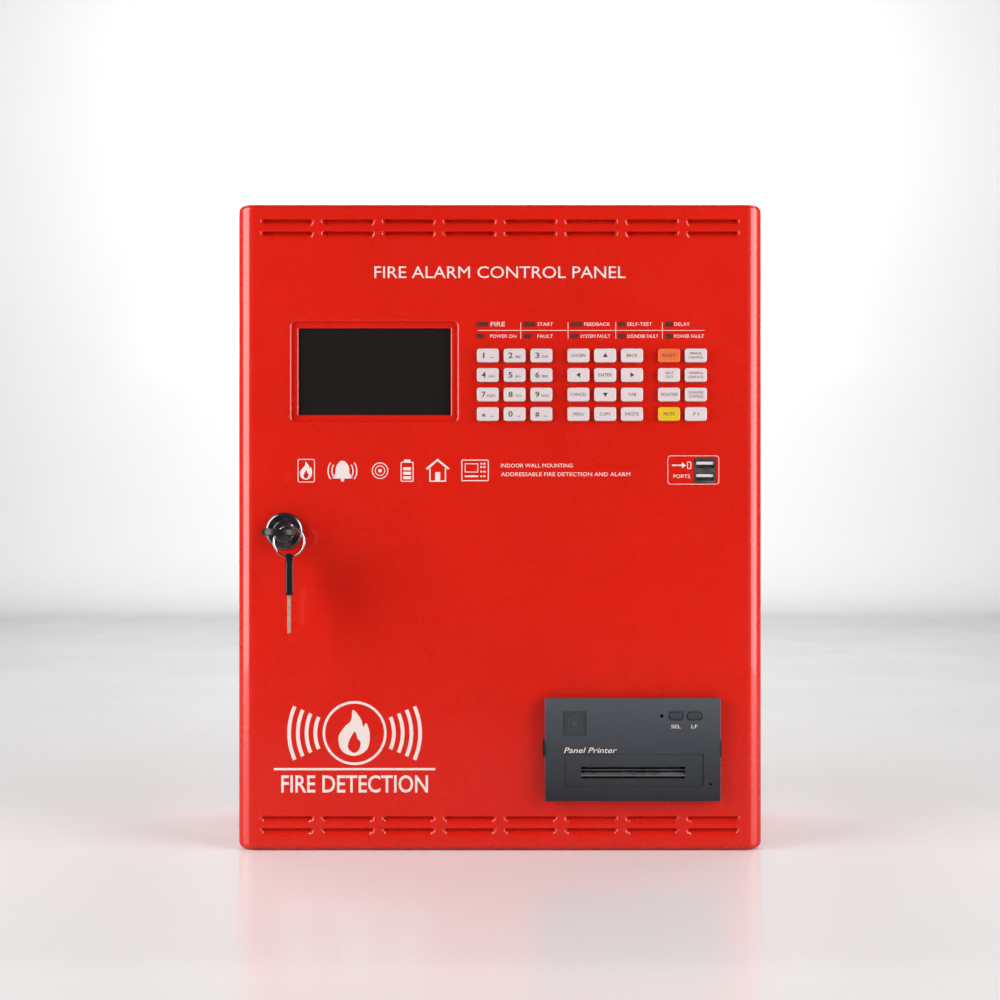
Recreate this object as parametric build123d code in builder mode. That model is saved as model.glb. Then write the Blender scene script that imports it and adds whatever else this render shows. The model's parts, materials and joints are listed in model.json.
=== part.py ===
"""Wall-mounted fire alarm control panel: a steel back box closed by a louvred tray door.

The door carries a display, a 32-key keypad, ten indicator lamps, two data sockets, a cam lock
with a key in it and a paper printer. The box holds the main board, power supply and batteries.

Frame, in millimetres: X to the viewer's right, Z up, and the wall is the plane Y = 0.
The door faces -Y. The origin is the middle of the box's back face.
"""

import os

from build123d import *

# ---- Driving dimensions ----
PANEL_W = 338.2  # door width
PANEL_H = 414.8  # door height
PANEL_D = 120.0  # wall to door face
SHEET = 1.5  # steel sheet
DOOR_D = 22.0  # depth of the door tray
DOOR_GAP = 2.0  # parting gap between door tray and box
BOX_INSET = 4.0  # the box is this much smaller than the door on each side

FRONT = -PANEL_D  # door's front face
DOOR_INNER = FRONT + SHEET  # door's inner face
DOOR_BACK = FRONT + DOOR_D
BOX_FRONT = DOOR_BACK + DOOR_GAP
BOX_W = PANEL_W - 2 * BOX_INSET
BOX_H = PANEL_H - 2 * BOX_INSET
BOX_FLOOR = -SHEET  # inner face of the box's back wall

# Door skin
SIDE_BEND = 11.0  # outer radius of the left and right bends
TOP_BEND = 4.0  # outer radius of the top and bottom bends
LOUVRE_PITCH_X, LOUVRE_PITCH_Z = 39.0, 7.7
LOUVRE_COLUMNS = 8
LOUVRE_L, LOUVRE_H, LOUVRE_CORNER = 34.2, 5.2, 4.5
# Profile of a louvre: depth, rise above its lower edge, and inset from its ends
LOUVRE_STEPS = ((0.0, 0.0, 0.0), (0.3, 0.9, 0.3), (1.0, 2.0, 0.8), (1.9, 3.2, 1.3), (2.8, 4.4, 2.0))
LOUVRE_TOP_Z, LOUVRE_BOTTOM_Z = 193.3, -189.3  # middle of each pair of slits

# Box front
LIP = 14.0  # inward lip round the box's mouth
RIM = 8.0  # forward rim on the lip's inner edge

# Wall fixing
WALL_HOLE_R = 3.5
WALL_HOLE_X = 135.0
WALL_HOLE_Z_HIGH, WALL_HOLE_Z_LOW = 190.0, -98.0
KNOCKOUT_R, KNOCKOUT_PITCH, KNOCKOUTS = 10.5, 44.0, 6

# Door hinge
HINGE_X = PANEL_W / 2 - 3.0
HINGE_Y = (DOOR_BACK + BOX_FRONT) / 2
HINGE_ZS = (-140.0, 140.0)
KNUCKLE_R, KNUCKLE_L, KNUCKLE_GAP = 2.5, 16.0, 0.5
HINGE_PIN_R, RUNNING = 1.25, 0.05
LEAF = 1.5  # hinge leaf thickness
HINGE_HALF = 1.5 * KNUCKLE_L + KNUCKLE_GAP
NOTCH_SPARE = 3.0  # the sheet is cut away this far past each end of a hinge

# Display
DISPLAY_X, DISPLAY_Z = -80.6, 99.8
WINDOW_W, WINDOW_H = 97.8, 55.6
SURROUND_W, SURROUND_H, SURROUND_R, SURROUND_DEPTH = 106.2, 63.8, 3.0, 2.0
LENS_W, LENS_H, LENS_T = 108.0, 62.0, 1.5
MODULE_W, MODULE_H, MODULE_T = 105.5, 67.2, 3.6

# Keypad: three blocks of keys, with this much from one block's first column to the next
KEY_W, KEY_H, KEY_R, KEY_PROUD, KEY_TRAVEL = 13.9, 8.8, 1.6, 2.2, 1.0
KEY_PITCH_X, KEY_PITCH_Z, KEY_BLOCK_PITCH = 17.15, 12.5, 58.0
KEY_X0, KEY_Z0 = -7.8, 109.8  # first key, top left
KEY_CLEAR, KEY_FLANGE, KEY_FLANGE_T = 0.3, 0.9, 1.0
KEY_ROWS = [
    ["1", "2", "3", "login", "up", "back", "reset", "manual_control"],
    ["4", "5", "6", "left", "enter", "right", "self_test", "general_linkage"],
    ["7", "8", "9", "cancel", "down", "tab", "isolation", "sounder_control"],
    ["star", "0", "hash", "menu", "copy", "paste", "mute", "f1"],
]

# Indicator lamps, in five columns of an upper and a lower one
LAMP_X0, LAMP_PITCH_X, LAMP_H = -14.8, 30.3, 2.7
LAMP_Z_HIGH, LAMP_Z_LOW = 130.0, 122.3
LAMP_WIDE, LAMP_NARROW, LAMP_WIDE_COUNT = 6.8, 4.2, 3

# Front board, behind the door
BOARD_T = 1.6
BOARD_FRONT_Y = DOOR_INNER + 8.5
BOARD_X0, BOARD_X1, BOARD_Z0, BOARD_Z1 = -140.0, 146.0, 22.0, 143.0
POST_R, SCREW_R, SCREW_HEAD_R, SCREW_HEAD_T = 2.8, 1.25, 2.8, 2.0
BOARD_POSTS = [(x, z) for x in (-136.0, -18.0, 142.0) for z in (27.0, 139.0)]

# Data sockets
SOCKET_X, SOCKET_Z, SOCKET_W, SOCKET_H, SOCKET_D = 131.3, 36.1, 13.1, 15.6, 17.0
PORT_W, PORT_H, PORT_D, PORT_PITCH = 12.1, 4.9, 9.0, 8.0
TONGUE_W, TONGUE_T = 11.0, 1.9

# Lock
LOCK_X, LOCK_Z = -138.0, -2.7
LOCK_FLANGE_R, LOCK_FLANGE_T, LOCK_BARREL_R, PLUG_R = 12.0, 4.0, 9.5, 7.0
LOCK_BACK = BOX_FRONT - 0.5  # rear end of the barrel
CAM_T, CAM_W, CAM_REACH = 2.0, 14.0, 20.0
CAM_FRONT = BOX_FRONT + SHEET + 0.5  # the cam turns just behind the box's lip

# Keys of the lock
BOW_W, BOW_L, BOW_T, BOW_HOLE_R, BOW_HOLE_IN = 23.0, 25.4, 4.2, 3.5, 4.6
BOW_HOLE_X = 0.5  # the hole is this far off the bow's middle
BLADE_W, BLADE_T, BLADE_L = 8.0, 2.0, 24.0
BOW_BASE_Y = FRONT - 6.0  # where the inserted key's bow starts
RING_R, RING_WIRE_R = 9.5, 0.6
RING_DX, RING_DZ = 7.0, -6.0  # ring's centre from the lock's axis
SPARE_TURN = 10.5  # how far the hanging key is turned from square to the door, in degrees

# Printer
PRINTER_X, PRINTER_Z, PRINTER_W, PRINTER_H = 84.6, -141.9, 112.0, 65.3
PRINTER_FLANGE_T, COVER_T = 1.2, 4.7
COVER_BACK = FRONT - PRINTER_FLANGE_T - 0.1
COVER_FRONT = COVER_BACK - COVER_T
COVER_BOTTOM = PRINTER_Z - PRINTER_H / 2
COVER_PIVOT_Y, COVER_PIVOT_Z = FRONT - 3.0, COVER_BOTTOM + 2.6
CUTOUT_W, CUTOUT_H, CUTOUT_Z = 103.0, 52.5, -140.25
HOUSING_BACK = FRONT + 47.5
EAR_X, EAR_W, EAR_R, TRUNNION_R = 50.0, 4.0, 1.9, 0.9
SLOT_W, SLOT_H, SLOT_Z = 66.4, 7.6, -156.4
TEAR_BAR_R, GUIDE_R = 0.5, 1.6
PLATEN_R, PLATEN_L, PLATEN_AXLE_R, PLATEN_Y = 4.0, 60.0, 1.5, FRONT + 3.2
ROLL_R, ROLL_L, ROLL_BORE_R, ROLL_Y, ROLL_Z = 15.0, 57.0, 6.0, FRONT + 24.0, -133.0
BUTTON_Z, SEL_X, LF_X, BUTTON_TRAVEL = -120.1, 112.0, 123.8, 0.8
SEL_W, SEL_H, SEL_R = 7.8, 4.3, 1.7
LF_W, LF_H = 8.6, 4.5

# Inside the box
MAIN_W, MAIN_Z0, MAIN_Z1, MAIN_STAND_OFF = 280.0, 24.0, 178.0, 10.0
SUPPLY_W, SUPPLY_H, SUPPLY_D, SUPPLY_X, SUPPLY_Z = 159.0, 97.0, 38.0, -70.0, -39.5
BATTERY_W, BATTERY_H, BATTERY_D = 151.0, 91.0, 65.0
STRAP_W, STRAP_Z = 20.0, -160.0


def front_plane(y):
    """A sketch plane parallel to the door, seen from the front: local x is X and local y is Z."""
    return Plane.XZ.offset(-y)


def save(part, name):
    part.label = name
    export_step(part, os.path.join("parts", name + ".step"))


def tray(width, height, front, back, side_radius, top_radius):
    """A block with rounded front edges: the outside or the inside of the door tray."""
    with BuildPart() as block:
        with Locations((0, (front + back) / 2, 0)):
            Box(width, back - front, height)
        fillet(block.edges().filter_by(Axis.Z).group_by(Axis.Y)[0], side_radius)
        ends = block.faces().sort_by(Axis.Z)
        rims = ends[0].edges() + ends[-1].edges()
        fillet([e for e in rims if e.center().Y < back - 0.01], top_radius)
    return block.part


def plate(width, height, radius, x, z, y_front, y_back):
    """A rounded rectangular plate parallel to the door."""
    with BuildPart() as slab:
        with BuildSketch(front_plane(y_front)):
            with Locations((x, z)):
                RectangleRounded(width, height, radius)
        extrude(amount=-(y_back - y_front))
    return slab.part


def rod(x, z, radius, y_front, y_back):
    """A round bar square to the door."""
    with BuildPart() as bar:
        with BuildSketch(front_plane(y_front)):
            with Locations((x, z)):
                Circle(radius)
        extrude(amount=-(y_back - y_front))
    return bar.part


def cross_rod(radius, x0, x1, y, z):
    """A round bar along X."""
    with BuildPart() as bar:
        with BuildSketch(Plane.YZ.offset(x0)):
            with Locations((y, z)):
                Circle(radius)
        extrude(amount=x1 - x0)
    return bar.part


def upright_rod(radius, x, y, z0, z1):
    """A round bar along Z."""
    with BuildPart() as bar:
        with BuildSketch(Plane.XY.offset(z0)):
            with Locations((x, y)):
                Circle(radius)
        extrude(amount=z1 - z0)
    return bar.part


def block(x0, x1, y0, y1, z0, z1):
    """A plain box between two corners."""
    with BuildPart() as cuboid:
        with Locations(((x0 + x1) / 2, (y0 + y1) / 2, (z0 + z1) / 2)):
            Box(x1 - x0, y1 - y0, z1 - z0)
    return cuboid.part


def louvre_form(grow, y_top):
    """Lower half of a dished pad, with its slit at Z = 0 and its mouth at y_top.

    The floor is deepest at the slit and rises to nothing at the lower edge.
    """
    with BuildPart() as form:
        for depth, rise, inset in LOUVRE_STEPS:
            with BuildSketch(front_plane(y_top + depth)):
                width = LOUVRE_L + 2 * (grow - inset)
                half_height = LOUVRE_H + grow - rise
                radius = min(half_height, LOUVRE_CORNER) - 0.05
                RectangleRounded(width, 2 * half_height, radius)
        loft(ruled=True)
        split(bisect_by=Plane.XY, keep=Keep.BOTTOM)
    return form.part


def key_places():
    """Name, x and z of every key, row by row."""
    places = []
    for row, names in enumerate(KEY_ROWS):
        for column, name in enumerate(names):
            block_index, place = divmod(column, 3)
            x = KEY_X0 + block_index * KEY_BLOCK_PITCH + place * KEY_PITCH_X
            places.append((name, x, KEY_Z0 - row * KEY_PITCH_Z))
    return places


def lamp_places():
    """Width, middle x and z of every indicator lamp."""
    places = []
    for column in range(5):
        left = LAMP_X0 + column * LAMP_PITCH_X
        high = LAMP_WIDE if column < LAMP_WIDE_COUNT else LAMP_NARROW
        places.append((high, left + high / 2, LAMP_Z_HIGH))
        places.append((LAMP_NARROW, left + LAMP_NARROW / 2, LAMP_Z_LOW))
    return places


def hinge_knuckles(offsets):
    """Hinge rings with a pin bore, at each of offsets above both hinge middles."""
    places = [z + offset for z in HINGE_ZS for offset in offsets]
    with BuildPart() as rings:
        for z in places:
            with BuildSketch(Plane.XY.offset(z - KNUCKLE_L / 2)):
                with Locations((HINGE_X, HINGE_Y)):
                    Circle(KNUCKLE_R)
            extrude(amount=KNUCKLE_L)
    return rings.part


def hinge_bores():
    with BuildPart() as bores:
        for z in HINGE_ZS:
            add(upright_rod(HINGE_PIN_R + RUNNING, HINGE_X, HINGE_Y, z - 30, z + 30))
    return bores.part


KNUCKLE_STEP = KNUCKLE_L + KNUCKLE_GAP
BOX_KNUCKLES = (-KNUCKLE_STEP, KNUCKLE_STEP)
DOOR_KNUCKLES = (0.0,)


# ---- Back box ----
def make_back_box():
    wall_x, wall_z = BOX_W / 2, BOX_H / 2
    mouth_w, mouth_h = BOX_W - 2 * LIP, BOX_H - 2 * LIP
    with BuildPart() as box:
        with Locations((0, BOX_FRONT / 2, 0)):
            Box(BOX_W, -BOX_FRONT, BOX_H)
        fillet(box.edges().filter_by(Axis.Y), 3.0)
        fillet(box.faces().sort_by(Axis.Y)[-1].edges(), 2.5)
        inner = plate(
            BOX_W - 2 * SHEET, BOX_H - 2 * SHEET, 1.5, 0, 0, BOX_FRONT + SHEET, BOX_FLOOR
        )
        add(inner, mode=Mode.SUBTRACT)
        add(plate(mouth_w, mouth_h, 2.0, 0, 0, BOX_FRONT - 1, BOX_FLOOR - 1), mode=Mode.SUBTRACT)
        with BuildSketch(front_plane(BOX_FRONT + SHEET)):
            RectangleRounded(mouth_w + 2 * SHEET, mouth_h + 2 * SHEET, 3.0)
            RectangleRounded(mouth_w, mouth_h, 2.0, mode=Mode.SUBTRACT)
        extrude(amount=RIM + SHEET)
        for z in HINGE_ZS:
            reach = HINGE_HALF + NOTCH_SPARE
            notch = block(wall_x - 3, wall_x + 1, BOX_FRONT - 1, BOX_FRONT + 3, z - reach, z + reach)
            add(notch, mode=Mode.SUBTRACT)
            leaf = block(
                wall_x, wall_x + LEAF, BOX_FRONT + 2, BOX_FRONT + 18, z - HINGE_HALF, z + HINGE_HALF
            )
            add(leaf)
            for step in BOX_KNUCKLES:
                low, high = z + step - KNUCKLE_L / 2, z + step + KNUCKLE_L / 2
                add(block(wall_x, wall_x + LEAF, HINGE_Y, BOX_FRONT + 3, low, high))
        add(hinge_knuckles(BOX_KNUCKLES))
        add(hinge_bores(), mode=Mode.SUBTRACT)
        with BuildSketch(front_plane(BOX_FLOOR)):
            with Locations(*main_post_places()):
                Circle(POST_R)
        extrude(amount=MAIN_STAND_OFF)
        with BuildSketch(front_plane(BOX_FLOOR - MAIN_STAND_OFF)):
            with Locations(*main_post_places()):
                Circle(SCREW_R + RUNNING)
        extrude(amount=-8, mode=Mode.SUBTRACT)
        with BuildSketch(front_plane(BOX_FLOOR)):
            with Locations(*supply_and_strap_screw_places()):
                Circle(SCREW_R + RUNNING)
        extrude(amount=-SHEET, mode=Mode.SUBTRACT)
        with BuildSketch(front_plane(BOX_FLOOR)):
            with Locations(*wall_hole_places()):
                Circle(WALL_HOLE_R)
        extrude(amount=-SHEET, mode=Mode.SUBTRACT)
        first = -(KNOCKOUTS - 1) / 2 * KNOCKOUT_PITCH
        with BuildSketch(Plane.XY.offset(wall_z)):
            with Locations(*[(first + i * KNOCKOUT_PITCH, BOX_FRONT / 2) for i in range(KNOCKOUTS)]):
                Circle(KNOCKOUT_R)
                Circle(KNOCKOUT_R - 0.8, mode=Mode.SUBTRACT)
        extrude(amount=-0.8, mode=Mode.SUBTRACT)
    return box.part


def wall_hole_places():
    return [(x, z) for x in (-WALL_HOLE_X, WALL_HOLE_X) for z in (WALL_HOLE_Z_LOW, WALL_HOLE_Z_HIGH)]


def main_post_places():
    middle = (MAIN_Z0 + MAIN_Z1) / 2
    reach = MAIN_W / 2 - 6
    half_height = (MAIN_Z1 - MAIN_Z0) / 2 - 6
    return [(x, middle + z) for x in (-reach, 0, reach) for z in (-half_height, half_height)]


def strap_screw_places():
    x = BATTERY_W + 6.5
    return [(-x, STRAP_Z), (x, STRAP_Z)]


def supply_screw_places():
    x = SUPPLY_W / 2 - 8
    z = SUPPLY_Z + SUPPLY_H / 2 + 4
    return [(SUPPLY_X - x, z), (SUPPLY_X + x, z)]


def supply_and_strap_screw_places():
    return strap_screw_places() + supply_screw_places()


# ---- Door ----
def make_door():
    flange_x = PANEL_W / 2
    with BuildPart() as door:
        add(tray(PANEL_W, PANEL_H, FRONT, DOOR_BACK, SIDE_BEND, TOP_BEND))
        hollow = tray(
            PANEL_W - 2 * SHEET,
            PANEL_H - 2 * SHEET,
            DOOR_INNER,
            DOOR_BACK + 1,
            SIDE_BEND - SHEET,
            TOP_BEND - SHEET,
        )
        add(hollow, mode=Mode.SUBTRACT)

        # Sunk surround of the display, pressed back by its own depth
        pressed = SURROUND_DEPTH + SHEET
        grow = 2 * SURROUND_DEPTH
        back_pad = plate(
            SURROUND_W + grow,
            SURROUND_H + grow,
            SURROUND_R + SURROUND_DEPTH,
            DISPLAY_X,
            DISPLAY_Z,
            DOOR_INNER,
            FRONT + pressed,
        )
        add(back_pad)
        sunk = plate(
            SURROUND_W, SURROUND_H, SURROUND_R, DISPLAY_X, DISPLAY_Z, FRONT, FRONT + SURROUND_DEPTH
        )
        add(sunk, mode=Mode.SUBTRACT)
        on_face = [
            e
            for e in door.edges().filter_by_position(Axis.Y, FRONT - 0.01, FRONT + 0.01)
            if abs(e.center().X - DISPLAY_X) < SURROUND_W / 2 + 1
            and abs(e.center().Z - DISPLAY_Z) < SURROUND_H / 2 + 1
        ]
        fillet(on_face, 1.7)
        window = plate(WINDOW_W, WINDOW_H, 0.6, DISPLAY_X, DISPLAY_Z, FRONT, FRONT + pressed)
        add(window, mode=Mode.SUBTRACT)
        floor_y = FRONT + SURROUND_DEPTH
        on_floor = [
            e
            for e in door.edges().filter_by_position(Axis.Y, floor_y - 0.01, floor_y + 0.01)
            if abs(e.center().X - DISPLAY_X) < WINDOW_W / 2 + 0.5
            and abs(e.center().Z - DISPLAY_Z) < WINDOW_H / 2 + 0.5
        ]
        fillet(on_floor, 1.2)

        # Openings for keys, lamps, sockets, lock and printer
        with BuildSketch(front_plane(FRONT)):
            for _, x, z in key_places():
                with Locations((x, z)):
                    RectangleRounded(KEY_W + 2 * KEY_CLEAR, KEY_H + 2 * KEY_CLEAR, KEY_R + KEY_CLEAR)
            for width, x, z in lamp_places():
                with Locations((x, z)):
                    RectangleRounded(width + 0.2, LAMP_H + 0.2, 0.4)
            with Locations((SOCKET_X, SOCKET_Z)):
                RectangleRounded(SOCKET_W + 0.6, SOCKET_H + 0.6, 1.2)
            with Locations((LOCK_X, LOCK_Z)):
                Circle(LOCK_BARREL_R + 0.1)
            with Locations((PRINTER_X, CUTOUT_Z)):
                RectangleRounded(CUTOUT_W, CUTOUT_H, 1.0)
        extrude(amount=-SHEET, mode=Mode.SUBTRACT)

        # Posts that carry the front board
        with BuildSketch(front_plane(DOOR_INNER)):
            with Locations(*BOARD_POSTS):
                Circle(POST_R)
        extrude(amount=-(BOARD_FRONT_Y - DOOR_INNER))
        with BuildSketch(front_plane(BOARD_FRONT_Y)):
            with Locations(*BOARD_POSTS):
                Circle(SCREW_R + RUNNING)
        extrude(amount=7, mode=Mode.SUBTRACT)

        # Hinge leaves on the right flange
        for z in HINGE_ZS:
            reach = HINGE_HALF + NOTCH_SPARE
            notch = block(flange_x - 2, flange_x + 1, DOOR_BACK - 2, DOOR_BACK + 1, z - reach, z + reach)
            add(notch, mode=Mode.SUBTRACT)
            inner_x = flange_x - SHEET
            add(block(inner_x - LEAF, inner_x, FRONT + 8, DOOR_BACK - 2, z - HINGE_HALF, z + HINGE_HALF))
            low, high = z - KNUCKLE_L / 2, z + KNUCKLE_L / 2
            add(block(inner_x - LEAF, inner_x, DOOR_BACK - 3, HINGE_Y, low, high))
        add(hinge_knuckles(DOOR_KNUCKLES))
        add(hinge_bores(), mode=Mode.SUBTRACT)

        # Louvres: each slit has a tongue pressed back below it
        tongue = louvre_form(0.8, DOOR_INNER)
        dish = louvre_form(0.0, FRONT)
        with Locations(*louvre_places()):
            add(tongue)
        with Locations(*louvre_places()):
            add(dish, mode=Mode.SUBTRACT)
    return door.part


def louvre_places():
    """Middle of every slit: a pair of rows along the top and a pair along the bottom."""
    first_x = -(LOUVRE_COLUMNS - 1) / 2 * LOUVRE_PITCH_X
    xs = [first_x + i * LOUVRE_PITCH_X for i in range(LOUVRE_COLUMNS)]
    zs = [z + side * LOUVRE_PITCH_Z / 2 for z in (LOUVRE_TOP_Z, LOUVRE_BOTTOM_Z) for side in (-1, 1)]
    return [Location((x, 0, z)) for z in zs for x in xs]


def make_hinge_pins():
    with BuildPart() as pins:
        for z in HINGE_ZS:
            low, high = z - HINGE_HALF - 0.3, z + HINGE_HALF + 0.3
            add(upright_rod(HINGE_PIN_R, HINGE_X, HINGE_Y, low, high))
            add(upright_rod(HINGE_PIN_R + 0.7, HINGE_X, HINGE_Y, high, high + 1.2))
    return pins.part


# ---- Lock and keys ----
def make_lock_housing():
    with BuildPart() as housing:
        add(rod(LOCK_X, LOCK_Z, LOCK_FLANGE_R, FRONT - LOCK_FLANGE_T, FRONT))
        fillet(housing.edges().sort_by(Axis.Y)[0], 2.0)
        add(rod(LOCK_X, LOCK_Z, LOCK_BARREL_R, FRONT, LOCK_BACK))
        # Turned rings in the bezel's face
        with BuildSketch(front_plane(FRONT - LOCK_FLANGE_T)):
            with Locations((LOCK_X, LOCK_Z)):
                Circle(9.8)
                Circle(9.2, mode=Mode.SUBTRACT)
                Circle(PLUG_R + 1.2)
        extrude(amount=-0.6, mode=Mode.SUBTRACT)
        bore = rod(LOCK_X, LOCK_Z, PLUG_R + RUNNING, FRONT - LOCK_FLANGE_T - 1, LOCK_BACK + 1)
        add(bore, mode=Mode.SUBTRACT)
    return housing.part


def make_lock_nut():
    with BuildPart() as nut:
        with BuildSketch(front_plane(DOOR_INNER)):
            with Locations((LOCK_X, LOCK_Z)):
                RegularPolygon(12.0, 6, major_radius=False)
                Circle(LOCK_BARREL_R + RUNNING, mode=Mode.SUBTRACT)
        extrude(amount=-4.0)
    return nut.part


def make_lock_cylinder():
    with BuildPart() as plug:
        add(rod(LOCK_X, LOCK_Z, PLUG_R, FRONT - LOCK_FLANGE_T - 1.0, CAM_FRONT))
        chamfer(plug.edges().sort_by(Axis.Y)[0], 0.9)
        tail = plate(7.0, 7.0, 0.4, LOCK_X, LOCK_Z, CAM_FRONT, CAM_FRONT + CAM_T)
        add(tail)
        keyway_end = BOW_BASE_Y + BLADE_L + 0.5
        keyway = plate(BLADE_W + 0.3, BLADE_T + 0.3, 0.3, LOCK_X, LOCK_Z, FRONT - 6, keyway_end)
        add(keyway, mode=Mode.SUBTRACT)
        screw_bore = rod(LOCK_X, LOCK_Z, 1.5 + RUNNING, CAM_FRONT - 3.0, CAM_FRONT + CAM_T)
        add(screw_bore, mode=Mode.SUBTRACT)
    return plug.part


def make_lock_cam():
    """The flat cam, pointing down when unlocked, and the screw that holds it on the plug."""
    back = CAM_FRONT + CAM_T
    with BuildPart() as cam:
        with BuildSketch(front_plane(CAM_FRONT)):
            with Locations((LOCK_X, LOCK_Z)):
                Circle(9.0)
            with Locations((LOCK_X, LOCK_Z - CAM_REACH / 2)):
                RectangleRounded(CAM_W, CAM_REACH, 2.0)
            with Locations((LOCK_X, LOCK_Z)):
                Rectangle(7.1, 7.1, mode=Mode.SUBTRACT)
        extrude(amount=-CAM_T)
        add(rod(LOCK_X, LOCK_Z, 5.2, back, back + 2.5))
        add(rod(LOCK_X, LOCK_Z, 1.5, CAM_FRONT - 2.5, back))
    return cam.part


def key_blank():
    """A key with its bow's base at the origin: bow along +Z, blade along -Z, flat across X."""
    with BuildPart() as blank:
        with BuildSketch(Plane.XZ.offset(-BOW_T / 2)) as bow:
            with Locations((0, BOW_L / 2)):
                Rectangle(BOW_W, BOW_L)
            fillet(bow.vertices().group_by(Axis.Y)[-1], BOW_W / 2 - 0.1)
            fillet(bow.vertices().group_by(Axis.Y)[0], 2.5)
        extrude(amount=BOW_T)
        fillet(blank.faces().filter_by(Axis.Y).edges(), 0.8)
        with BuildSketch(Plane.XZ.offset(-BOW_T)):
            with Locations((BOW_HOLE_X, BOW_L - BOW_HOLE_IN)):
                Circle(BOW_HOLE_R)
        extrude(amount=2 * BOW_T, mode=Mode.SUBTRACT)
        with BuildSketch(Plane.XZ.offset(-BLADE_T / 2)):
            with BuildLine():
                Polyline(*blade_outline(), close=True)
            make_face()
        extrude(amount=BLADE_T)
    return blank.part


def blade_outline():
    """The blade seen flat: two straight edges, a point, and a row of cuts along both edges."""
    half = BLADE_W / 2
    cuts = 4
    pitch = (BLADE_L - 6.0) / cuts
    left = [(-half, 1.0), (-half, -3.0)]
    for i in range(cuts):
        top = -3.0 - i * pitch
        depth = 0.9 + 0.5 * (i % 3)
        left += [(-half + depth, top - pitch / 2), (-half, top - pitch)]
    right = [(-x, z) for x, z in reversed(left)]
    return left + [(-1.2, -BLADE_L), (1.2, -BLADE_L)] + right


def make_inserted_key(blank):
    """The blank lies flat, with its bow towards the viewer."""
    turn = Location((LOCK_X, BOW_BASE_Y, LOCK_Z), (90, 0, 0))
    return turn * blank


def make_spare_key(blank):
    """The blank hangs from the bottom of the ring, nearly edge on to the viewer."""
    ring_x, ring_y, ring_z = ring_centre()
    wire_z = ring_z - RING_R
    hole_z = wire_z - (BOW_HOLE_R - RING_WIRE_R - 0.5)
    hang = Location((ring_x, ring_y, hole_z), (0, 0, SPARE_TURN - 90))
    return hang * Location((-BOW_HOLE_X, 0, BOW_HOLE_IN - BOW_L)) * blank


def ring_centre():
    return (LOCK_X + RING_DX, BOW_BASE_Y - BOW_L + BOW_HOLE_IN, LOCK_Z + RING_DZ)


def make_key_ring():
    x, y, z = ring_centre()
    with BuildPart() as ring:
        with BuildSketch(Plane.XY.offset(z)):
            with Locations((x + RING_R, y)):
                Circle(RING_WIRE_R)
        revolve(axis=Axis((x, y, z), (0, 1, 0)), revolution_arc=360)
    return ring.part


# ---- Display, board, lamps, sockets ----
def make_display_window():
    y = FRONT + SURROUND_DEPTH + SHEET + 0.1
    return plate(LENS_W, LENS_H, 1.0, DISPLAY_X, DISPLAY_Z, y, y + LENS_T)


def make_display_module():
    y = FRONT + SURROUND_DEPTH + SHEET + LENS_T + 0.2
    return plate(MODULE_W, MODULE_H, 1.0, DISPLAY_X, DISPLAY_Z, y, y + MODULE_T)


def make_front_board():
    """Circuit board with a push switch under each key."""
    width, height = BOARD_X1 - BOARD_X0, BOARD_Z1 - BOARD_Z0
    middle_x, middle_z = (BOARD_X0 + BOARD_X1) / 2, (BOARD_Z0 + BOARD_Z1) / 2
    key_spots = [(x, z) for _, x, z in key_places()]
    with BuildPart() as board:
        add(plate(width, height, 2.0, middle_x, middle_z, BOARD_FRONT_Y, BOARD_FRONT_Y + BOARD_T))
        with BuildSketch(front_plane(BOARD_FRONT_Y)):
            with Locations(*BOARD_POSTS):
                Circle(SCREW_R + RUNNING)
            with Locations((SOCKET_X, SOCKET_Z)):
                Rectangle(SOCKET_W + 1, SOCKET_H + 1)
        extrude(amount=-BOARD_T, mode=Mode.SUBTRACT)
        with BuildSketch(front_plane(BOARD_FRONT_Y)):
            with Locations(*key_spots):
                Rectangle(6.0, 6.0)
        extrude(amount=3.3)
        with BuildSketch(front_plane(BOARD_FRONT_Y - 3.3)):
            with Locations(*key_spots):
                Circle(1.6)
        extrude(amount=0.6)
        with BuildSketch(front_plane(BOARD_FRONT_Y + BOARD_T)):
            with Locations((-60, 60), (0, 70), (60, 100)):
                Rectangle(18, 18)
            with Locations((-100, 40), (20, 32)):
                Rectangle(30, 8)
        extrude(amount=-2.5)
    return board.part


def make_led_lenses():
    with BuildPart() as lenses:
        for width, x, z in lamp_places():
            add(plate(width, LAMP_H, 0.3, x, z, FRONT - 0.25, DOOR_INNER + 3.0))
    return lenses.part


def make_data_sockets():
    face = FRONT - 0.3
    with BuildPart() as sockets:
        add(plate(SOCKET_W, SOCKET_H, 0.6, SOCKET_X, SOCKET_Z, face, face + SOCKET_D))
        ports = [(SOCKET_X, SOCKET_Z + side * PORT_PITCH / 2) for side in (-1, 1)]
        with BuildSketch(front_plane(face)):
            with Locations(*ports):
                Rectangle(PORT_W, PORT_H)
        extrude(amount=-PORT_D, mode=Mode.SUBTRACT)
        with BuildSketch(front_plane(face + 0.8)):
            with Locations(*[(x, z + 0.9) for x, z in ports]):
                Rectangle(TONGUE_W, TONGUE_T)
        extrude(amount=-(PORT_D - 0.5))
    return sockets.part


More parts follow.
